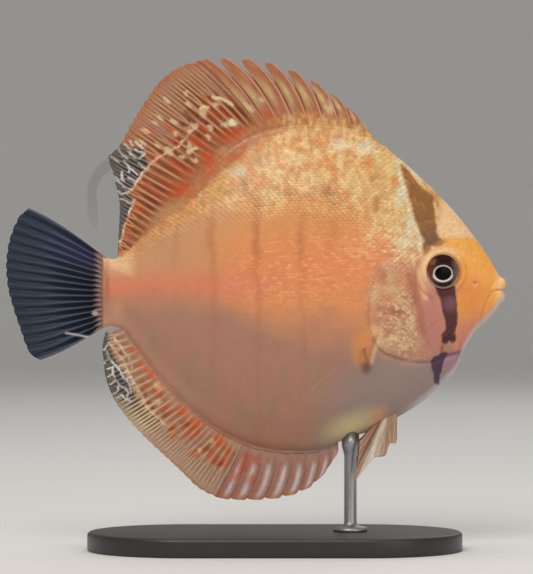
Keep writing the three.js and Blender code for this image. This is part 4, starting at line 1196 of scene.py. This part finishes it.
def paintAnalSoft(x, z, u, share, phases, ray):
    f, at = fins, analCorner
    px, py = inPhoto(x, z)
    patch, fine = finNoise(px, py)
    grainy = cloud(3.2 * phases, 14 * share, 2.2, 65) - 0.5
    colour = wash(baseCoat(x, f["analSand"]), 0.6 * soft(grainy, 0.0, 0.2), f["greenTan"])
    colour = wash(colour, 0.5 * soft(-grainy, 0.04, 0.2), f["mauve"])
    colour = wash(colour, 0.6 * soft(share, 0.5, 0.85), f["analEdge"])
    colour = daub(colour, px + 4 * fine, py + 4 * fine, analReds, f["analRed"], 0.9, 0.6)
    colour = daub(colour, px + 3 * fine, py + 3 * fine, analDarks, f["darkRed"], 0.6, 0.6)
    colour = wash(colour, 0.50 * (1 - ray) * soft(share, 0.10, 0.3) * (0.75 + grainy), f["analBetween"])
    colour = wash(colour, 0.50 * ray * soft(share, 0.10, 0.3) * (0.8 + grainy), f["paleRay"])
    colour = wash(colour, 0.65 * soft(share, 0.93, 0.99) * (1 - soft(u, 0.3, 0.42)), f["hem"])
    foot = 1 - soft(bellyHeight(x) - z + 2.6 * patch, 0.0, 3.2)
    colour = wash(colour, foot, f["analRoot"])
    colour = daub(colour, px + 3 * fine, py + 3 * fine, at["creams"], f["cream"], 0.45, 0.6)
    inward = at["margin"](py) - px
    dark = soft(inward, -3, 3) * (1 - soft(py, *at["darkRows"]))
    colour = wash(colour, 0.94 * dark, f["ink"])
    fringe = soft(inward + at["fringeWidth"], -4, 6) * soft(py, *at["fringeRows"])
    fringe = fringe * (1 - soft(py, *at["fringeEnd"]))
    colour = wash(colour, 0.7 * fringe * (1 - ray), f["between"] * 0.6)
    colour = wash(colour, 0.7 * fringe * ray, f["cream"])
    colour, lace = laceCorner(colour, px, py, patch, fine, ray, dark, at)
    cover = 0.98 - 0.30 * dark * (1 - lace) * soft(share, 0.6, 1.0)
    return colour * (1 + 0.14 * fine)[..., None], cover


spinyFins = [
    ("dorsal_spines", dorsal, backHeight, lambda s: 0.22 + 0.18 * np.sin(np.pi * s), paintSpiny,
     "dorsal_fin_spiny"),
    ("anal_spines", anal, bellyHeight, lambda s: 0.17 - 0.15 * s ** 0.4, paintAnalSpiny, "anal_fin_spiny"),
]
softFins = [
    ("dorsal_rays", dorsal, backHeight, 0.03, paintDorsalSoft, "dorsal_fin_soft"),
    ("anal_rays", anal, bellyHeight, 0.0, paintAnalSoft, "anal_fin_soft"),
]
for parts in spinyFins:
    spinyFin(*parts)
for name, fin, line, bow, painter, node in softFins:
    x, y, z, u, share, phases, ray, half = softGrid(fin, line, bow)
    colour, cover = painter(x, z, u, share, phases, ray)
    sheetMesh(name, x, y, z, half, (0, 1, 0), orangeFin, colour, cover, node)
print("dorsal and anal fins made")


streamer = {
    "outer": edgePath([[0, -45.4, 43.6], [0.25, -51.6, 38.6], [0.5, -53.9, 32], [0.8, -53.9, 25],
                       [1, -52, 19.4]]),
    "inner": edgePath([[0, -45, 39.6], [0.25, -49.4, 35.8], [0.5, -51, 31], [0.8, -50.7, 25],
                       [1, -50.6, 19]]),
}


def buildStreamer():
    # thin clear streamer off the dorsal fin's rear tip
    u = np.linspace(0, 1, 90)[:, None]
    v = np.linspace(0, 1, 12)[None, :]
    (ax, az), (bx, bz) = streamer["outer"](u), streamer["inner"](u)
    x, z = ax + (bx - ax) * v, az + (bz - az) * v
    half = 0.1 + 0.07 * hump(v, 0.15, 0.1) + 0.05 * hump(v, 0.6, 0.12) + 0 * u
    colour = wash(baseCoat(x, fins["streamer"]), 0.6 * hump(v, 0.15, 0.12) + 0 * u, fins["streamerRay"])
    cover = (0.18 - 0.10 * soft(u, 0.5, 1)) * (0.6 + 0.6 * hump(v, 0.15, 0.15)) + 0 * v
    y = 0.2 * np.sin(3 * u) + 0 * v
    sheetMesh("dorsal_streamer", x, y, z, half, (0, 1, 0), clearFin, colour, cover, "dorsal_fin_soft")


buildStreamer()


tailFin = {
    "rays": 17, "rootZ": (-11.6, 10.4), "tipZ": (-22.4, 26.2), "sink": 1.2,
    "margin": smooth([[-22.4, -69], [-20.8, -72], [-11.8, -75.7], [-5.4, -77.8], [1.6, -79.5], [8, -79.99],
                      [13.8, -79.4], [19.5, -77.8], [24.3, -75.2], [26.2, -72.6]]),
    "footColumns": (94, 101),
    "thread": [(66, 333), (78, 335), (92, 338)],
    "paleSpot": (95, 313, 3, 2.4),
}


def buildTailFin():
    at, f = tailFin, fins
    perRay, rows = 18, 80
    u = np.linspace(0, 1, (at["rays"] - 1) * perRay + 1)
    phase = u * (at["rays"] - 1)
    off = np.abs(phase - np.round(phase))
    share = np.linspace(0, 1, rows)[None, :] * (1 - 0.012 * (off / 0.5) ** 2)[:, None]
    rootX = np.full_like(u, body["tailEnd"] + at["sink"])
    rootZ, tipZ = np.interp(u, [0, 1], at["rootZ"]), np.interp(u, [0, 1], at["tipZ"])
    x, z = fanOut(rootX, rootZ, at["margin"](tipZ), tipZ, share, 0.03 * (2 * u - 1))
    phases = phase[:, None] + 0 * share
    ray = rayPattern(phases, share, (0.38, 0.72))
    root = (0.9 * np.sin(np.pi * np.clip(u, 0.02, 0.98)))[:, None] * (1 - soft(share, 0.0, 0.28))
    half = root + (0.34 - 0.22 * share) * ray + 0.12
    y = 0.25 * share ** 2 * np.sin(phases * 0.55)
    px, py = inPhoto(x, z)
    patch = finNoise(px, py)[0]
    colour = wash(baseCoat(x, f["slateDark"]), soft(share, 0.12, 0.75), f["slate"])
    colour = wash(colour, 0.5 * hump(u[:, None], 0.86, 0.13) * hump(share, 0.3, 0.3), f["violet"])
    stem = hump(off[:, None] + 0 * share, 0, 0.10 + 0.05 * share)
    colour = wash(colour, 0.75 * stem * (1 - 0.65 * soft(share, 0.35, 0.95)), f["slateRay"])
    colour = wash(colour, 0.26 * ray * soft(share, 0.3, 0.6), f["slateRay"])
    foot = soft(px + 2.5 * np.sin(phases * 2 * np.pi) + 3 * patch, *at["footColumns"])
    colour = wash(colour, 0.9 * foot, washes["mauve"])
    colour = wash(colour, 0.5 * foot * stem, f["tailRoot"])
    outerRays = np.maximum(1 - soft(u, 0.0, 0.02), soft(u, 0.985, 1.0))[:, None] + 0 * share
    colour = wash(colour, 0.5 * outerRays, f["tailRim"])
    colour = wash(colour, 0.8 * hump(lineDistance(px, py, at["thread"]), 0, 1.0), f["tailThread"])
    colour = wash(colour, 0.8 * oval(px, py, at["paleSpot"]), f["tailSpot"])
    cover = 0.97 - 0.10 * soft(share, 0.45, 1) * (1 - ray)
    sheetMesh("tail_fin", x, y, z, half, (0, 1, 0), slateFin, colour, cover, "caudal_fin")


buildTailFin()
print("tail fin made")


pectoral = {
    "rays": 13, "rootX": (35, 36), "rootZ": (-17.8, -23), "swing": 21, "sink": 0.9, "thick": 0.8,
    "edge": edgePath([[0, 14.7, -32.6], [0.12, 14.2, -34.2], [0.4, 18.6, -36.6], [0.75, 25.4, -37],
                      [1, 30.6, -34.4]]),
}
pelvic = {
    "rays": 8, "rootX": (45, 38), "rootZ": (-39.6, -43), "swing": 12, "sink": 1.0, "thick": 0.9,
    "edge": edgePath([[0, 45, -47.6], [0.14, 44.4, -48.9], [0.24, 42.8, -48.9], [0.36, 41, -52.9],
                      [0.48, 38.4, -53.2], [0.68, 31.2, -61.3], [0.76, 31.4, -58.6], [0.86, 32.6, -52.6],
                      [1, 33, -48.2]]),
}


def pairedFin(name, fin, side, painter, material, node):
    perRay, rows = 16, 48
    u = np.linspace(0, 1, (fin["rays"] - 1) * perRay + 1)
    phase = u * (fin["rays"] - 1)
    rootX, rootZ = np.interp(u, [0, 1], fin["rootX"]), np.interp(u, [0, 1], fin["rootZ"])
    rootY = sideAt(rootX, rootZ)
    tipX, tipZ = fin["edge"](u)
    reach = np.hypot(tipX - rootX, tipZ - rootZ)
    tipY = rootY + math.tan(math.radians(fin["swing"])) * reach
    chord = np.stack([tipX - rootX, tipY - rootY, tipZ - rootZ], -1)
    unit = chord / np.linalg.norm(chord, axis=-1, keepdims=True)
    root = np.stack([rootX, rootY, rootZ], -1) - unit * fin["sink"]
    tip = np.stack([tipX, tipY, tipZ], -1)
    off = np.abs(phase - np.round(phase))
    share = np.linspace(0, 1, rows)[None, :] * (1 - 0.02 * (off / 0.5) ** 2)[:, None]
    middle = root[:, None, :] + (tip - root)[:, None, :] * share[..., None]
    across = np.cross(tip[0] - root[0], tip[-1] - root[0])
    across = across / np.linalg.norm(across) * [1, side, 1]
    ray = rayPattern(phase[:, None] + 0 * share, share, (0.5, 0.8))
    half = fin["thick"] * ((0.6 - 0.42 * share) * ray + 0.42 - 0.24 * share)
    x, y, z = middle[..., 0], side * middle[..., 1], middle[..., 2]
    colour, cover = painter(x, z, u[:, None] + 0 * share, share, ray)
    sheetMesh(name, x, y, z, half, across, material, colour, cover, node)


def paintPectoral(x, z, u, share, ray):
    # nearly clear, but for its fleshy foot and its first ray
    colour = wash(baseCoat(x, fins["pectoral"]), 0.9 * (1 - soft(share, 0.06, 0.2)), washes["orange"])
    colour = wash(colour, 0.6 * ray, fins["pectoralRay"])
    firstRay = 1 - soft(u, 0.02, 0.05)
    foot = 1 - soft(share, 0.04, 0.14)
    cover = 0.02 + 0.02 * ray + 0.16 * firstRay * soft(share, 0.2, 0.5) + 0.8 * foot
    return colour, np.clip(cover, 0, 0.97)


def paintPelvic(x, z, u, share, ray):
    # white through the middle, brown along the rear edge, tan in front
    f = fins
    fine = finNoise(*inPhoto(x, z))[1]
    white = hump(u, 0.56, 0.11)
    colour = wash(baseCoat(x, f["pelvic"]), 0.5 * soft(u, 0.55, 0.75), f["pelvicRear"])
    colour = wash(colour, 0.8 * hump(u, 0.80, 0.06), f["pelvicBrown"])
    colour = wash(colour, 0.95 * white, f["pelvicWhite"])
    colour = wash(colour, 0.45 * hump(u, 0.12, 0.08), f["pelvicFront"])
    colour = wash(colour, 0.35 * (1 - ray) * soft(share, 0.15, 0.5), f["pelvicBetween"])
    colour = wash(colour, 0.35 * ray * (1 - white), f["paleRay"])
    return colour * (1 + 0.16 * fine)[..., None], np.full(x.shape, 0.97)


for suffix, side in (("right", -1), ("left", 1)):
    pairedFin(f"pectoral_{suffix}", pectoral, side, paintPectoral, clearFin, f"pectoral_fin_{suffix}")
    pairedFin(f"pelvic_{suffix}", pelvic, side, paintPelvic, orangeFin, f"pelvic_fin_{suffix}")
print("paired fins made")


# eyes

eyePaints = palette(
    iris=(46, 26, 22), irisRear=(116, 64, 50), irisFront=(128, 108, 100), ring=(226, 214, 206),
    ringGleam=(238, 232, 228), pupil=(8, 6, 7), outerRing=(206, 186, 172), socket=(205, 160, 120))
irisFinish, irisTree, irisShader = newMaterial(
    "eyeBall", Roughness=0.4, Specular_IOR_Level=0.0, Coat_Weight=0.45, Coat_IOR=1.28, Coat_Roughness=0.02)
paintedColour(irisTree, irisShader, "paint", 0.35)


def paintEye(across, turn, lx, lz):
    # seen from its own side, lx runs forward and lz up
    p = eyePaints
    colour = baseCoat(lx, p["iris"])
    colour = wash(colour, 0.75 * soft(-lx, 1.2, 4.4) * (1 - soft(np.abs(lz), 3.4, 5.4)), p["irisRear"])
    colour = wash(colour, 0.75 * soft(lx, 1.8, 4.8) * (1 - soft(np.abs(lz), 3.0, 5.0)), p["irisFront"])
    streaks = cloud(turn * 6 + 0 * across, across * 0.6, 1.0, 81)
    colour = colour * (0.8 + 0.45 * streaks)[..., None]
    pupil = np.hypot((lx + eye["pupilBack"]) / eye["pupil"][0], (lz + eye["pupilLow"]) / eye["pupil"][1])
    colour = wash(colour, 0.95 * hump(pupil, 1.14, 0.085), p["ring"])
    colour = wash(colour, 0.9 * hump(pupil, 1.2, 0.14) * soft(-lz, 0.6, 1.8), p["ringGleam"])
    colour = wash(colour, 1 - soft(pupil, 0.98, 1.08), p["pupil"])
    colour = wash(colour, 0.75 * hump(across, 5.15, 0.3) * soft(-lz, -1.0, 3.5), p["outerRing"])
    return wash(colour, soft(across, 5.35, 5.7), p["socket"])


def buildEye(name, side, node):
    rings, spokes = 70, 96
    turn = np.linspace(0, 2 * np.pi, spokes, endpoint=False)[:, None]
    angle = np.linspace(0.0, math.radians(105), rings)[None, :]     # from the pupil to well inside the socket
    across = np.sin(angle) * eye["radius"] * np.ones((spokes, 1))
    outwards = np.cos(angle) * eye["deep"] + 0.12 * hump(across, 0, 3.0)
    lx, lz = across * np.cos(turn), across * np.sin(turn)
    c, s = math.cos(eye["forward"]), math.sin(eye["forward"])
    baseX = eye["centre"][0] - eye["setBack"] - s * eye["sunk"]
    baseY = float(sideAt(*eye["centre"])) - c * eye["sunk"]
    x, y, z = baseX + lx * c + outwards * s, baseY - lx * s + outwards * c, eye["centre"][1] + lz
    points = np.stack([x, side * y, z + midline], -1).reshape(-1, 3)
    faces = gridQuads(spokes, rings, wrapColumns=True)
    faces = faces[:, ::-1] if side < 0 else faces
    piece = makeMesh(name, points, faces, irisFinish, colours={"paint": paintEye(across, turn, lx, lz)},
                     floats={"grain": np.full(len(points), 0.12)}, weld=True)
    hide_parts(node)


buildEye("eyeball_right", -1, "eye_right")
buildEye("eyeball_left", 1, "eye_left")
print("eyes made")


# stand

stand = {
    "baseX": 6.0, "long": 120.0, "wide": 64.0, "thick": 6.0, "bevel": 1.2,
    "rodX": 30.2, "rodRadius": 2.0,
    "baseTones": ((0.012, 0.012, 0.013, 1), (0.030, 0.029, 0.029, 1)),
    "rodTones": ((0.30, 0.30, 0.31, 1), (0.44, 0.44, 0.45, 1)),
}


def twoTone(tree, shader, height, tones):
    # a colour between two tones, by a texture's height
    ramp = addNode(tree, "ShaderNodeValToRGB")
    for stop, tone in zip(ramp.color_ramp.elements, tones):
        stop.color = tone
    tree.links.new(height, ramp.inputs["Fac"])
    tree.links.new(ramp.outputs["Color"], shader.inputs["Base Color"])


baseFinish, baseTree, baseShader = newMaterial(
    "standBlack", Roughness=0.42, Coat_Weight=0.15, Coat_Roughness=0.25)
baseFine = grain(baseTree, ownPlace(baseTree), 0.5, 4)
twoTone(baseTree, baseShader, baseFine, stand["baseTones"])
bumpFrom(baseTree, baseShader, baseFine, 0.25, 0.05)

rodFinish, rodTree, rodShader = newMaterial("brushedRod", Metallic=1.0, Roughness=0.45)
rodPlace = addNode(rodTree, "ShaderNodeMapping", {"Scale": (30, 30, 1800)})
rodTree.links.new(ownPlace(rodTree), rodPlace.inputs["Vector"])
rodBrush = addNode(rodTree, "ShaderNodeTexNoise", {"Scale": 2.0, "Detail": 2.0})
rodTree.links.new(rodPlace.outputs["Vector"], rodBrush.inputs["Vector"])
twoTone(rodTree, rodShader, rodBrush.outputs["Fac"], stand["rodTones"])
bumpFrom(rodTree, rodShader, rodBrush.outputs["Fac"], 0.15, 0.02)


def buildBase():
    radius, reach = stand["wide"] / 2, (stand["long"] - stand["wide"]) / 2
    turn = np.linspace(-math.pi / 2, math.pi / 2, 60)
    ends = [(reach, a) for a in turn] + [(-reach, a + math.pi) for a in turn]
    bevel, thick = stand["bevel"], stand["thick"]
    profile = [(radius, 0.0), (bevel * 0.5, 0.0), (bevel * 0.15, bevel * 0.15), (0.0, bevel * 0.5)]
    for a in np.linspace(0, math.pi / 2, 7):
        profile.append((bevel * (1 - math.cos(a)), thick - bevel * (1 - math.sin(a))))
    profile.append((radius, thick))
    points = []
    for centre, a in ends:
        for inset, height in profile:
            r = radius - inset
            points.append((stand["baseX"] + centre + r * math.cos(a), r * math.sin(a), height))
    faces = gridQuads(len(ends), len(profile), wrapColumns=True)
    piece = makeMesh("stand_plate", points, faces, baseFinish, weld=True)
    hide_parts("stand_base")


def bellyAt(x, y):
    # height of the body's underside off the middle plane
    top, bottom = backHeight(x), bellyHeight(x)
    lean = -np.sqrt(np.clip(1 - (np.abs(y) / halfWidth(x)) ** (2 / 1.13), 0, 1))
    return (top + bottom) / 2 + (top - bottom) / 2 * lean + midline


def buildRod():
    r, foot = stand["rodRadius"], stand["thick"]
    head = midline + float(bellyHeight(stand["rodX"]))
    profile = [(0.0, foot), (5.4, foot), (5.5, foot + 0.5), (5.45, foot + 0.9), (5.0, foot + 1.4),
               (r + 0.9, foot + 1.8), (r + 0.25, foot + 2.3), (r, foot + 3.0), (r, head - 6.0),
               (r + 0.3, head - 4.6), (r + 0.7, head - 3.2), (r + 0.8, head - 2.2)]
    cup = (r + 0.8, r + 0.4, 0.8, 0.0)                      # its rings follow the belly's keel
    turn = np.linspace(0, 2 * math.pi, 64, endpoint=False)
    points = []
    for a in turn:
        for radius, height in profile:
            points.append((stand["rodX"] + radius * math.cos(a), radius * math.sin(a), height))
        for radius in cup:
            x, y = stand["rodX"] + radius * math.cos(a), radius * math.sin(a)
            points.append((x, y, float(bellyAt(x, y)) + 0.05))
    faces = gridQuads(len(turn), len(profile) + len(cup), wrapColumns=True)
    piece = makeMesh("stand_post", points, faces, rodFinish, weld=True)
    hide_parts("stand_rod")


buildBase()
buildRod()
print("stand made")


# studio

studio = {                    # metres
    "floorTone": (0.80, 0.79, 0.77, 1), "airTone": (0.95, 0.95, 0.95, 1), "airLight": 0.38,
    "floorReach": 2.4, "sweep": 1.2, "wallTop": 3.2,
    "aim": (0, 0, 0.085),
    "lights": [               # place, size, power and tint
        ("key", (-0.35, -1.1, 1.05), 0.7, 9.5, (1.0, 0.97, 0.92)),
        ("fill", (0.9, -1.2, 0.45), 0.9, 4.0, (1.0, 0.98, 0.96)),
        ("top", (0.0, 0.1, 1.3), 0.8, 4.5, (1.0, 0.99, 0.97)),
        ("back", (0.5, 1.2, 0.9), 0.8, 1.8, (1.0, 0.98, 0.95)),
    ],
}


def buildStudio():
    # a round floor that sweeps up into a wall
    finish = newMaterial("paleStudio", Roughness=0.9, Base_Color=studio["floorTone"])[0]
    reach, sweep = studio["floorReach"], studio["sweep"]
    bend = np.linspace(0.15, math.pi / 2, 10)
    profile = [(r, 0) for r in (0, 0.3, 0.8, 1.6, reach)]
    profile += [(reach + sweep * math.sin(a), sweep * (1 - math.cos(a))) for a in bend]
    profile.append((reach + sweep, studio["wallTop"]))
    turn = np.linspace(0, 2 * math.pi, 96, endpoint=False)
    points = [(r * math.cos(a) / mm, r * math.sin(a) / mm, h / mm) for a in turn for r, h in profile]
    faces = gridQuads(len(turn), len(profile), wrapColumns=True)
    makeMesh("studio_floor", points, faces, finish, body=None, weld=True)


def hangLights():
    for label, place, size, power, tint in studio["lights"]:
        light = bpy.data.lights.new(label, "AREA")
        light.size, light.energy, light.color = size, power, tint
        lamp = bpy.data.objects.new(label, light)
        lamp.location = place
        aim = Vector(studio["aim"]) - Vector(place)
        lamp.rotation_euler = aim.to_track_quat("-Z", "Y").to_euler()
        bpy.context.scene.collection.objects.link(lamp)
    air = bpy.data.worlds.new("studioAir")
    air.use_nodes = True
    background = air.node_tree.nodes["Background"]
    background.inputs["Color"].default_value = studio["airTone"]
    background.inputs["Strength"].default_value = studio["airLight"]
    bpy.context.scene.world = air
    bpy.context.scene.view_settings.view_transform = "Standard"


def placeCamera():
    # level, and square to the fish's side, so that the frame is the photograph's
    lens = bpy.data.cameras.new("camera")
    lens.lens, lens.sensor_width, lens.clip_end = 200, 36, 20
    camera = bpy.data.objects.new("camera", lens)
    pixel = photo["mmPerPixel"] * mm
    # the frame's long side is its height
    distance = photo["height"] * pixel / 2 / (lens.sensor_width / 2 / lens.lens)
    camera.location = ((photo["width"] / 2 - photo["column"]) * pixel, -distance,
                       (photo["floorRow"] - photo["height"] / 2) * pixel)
    camera.rotation_euler = (math.pi / 2, 0, 0)
    bpy.context.scene.collection.objects.link(camera)
    bpy.context.scene.camera = camera


buildStudio()
hangLights()
placeCamera()
print("studio made")
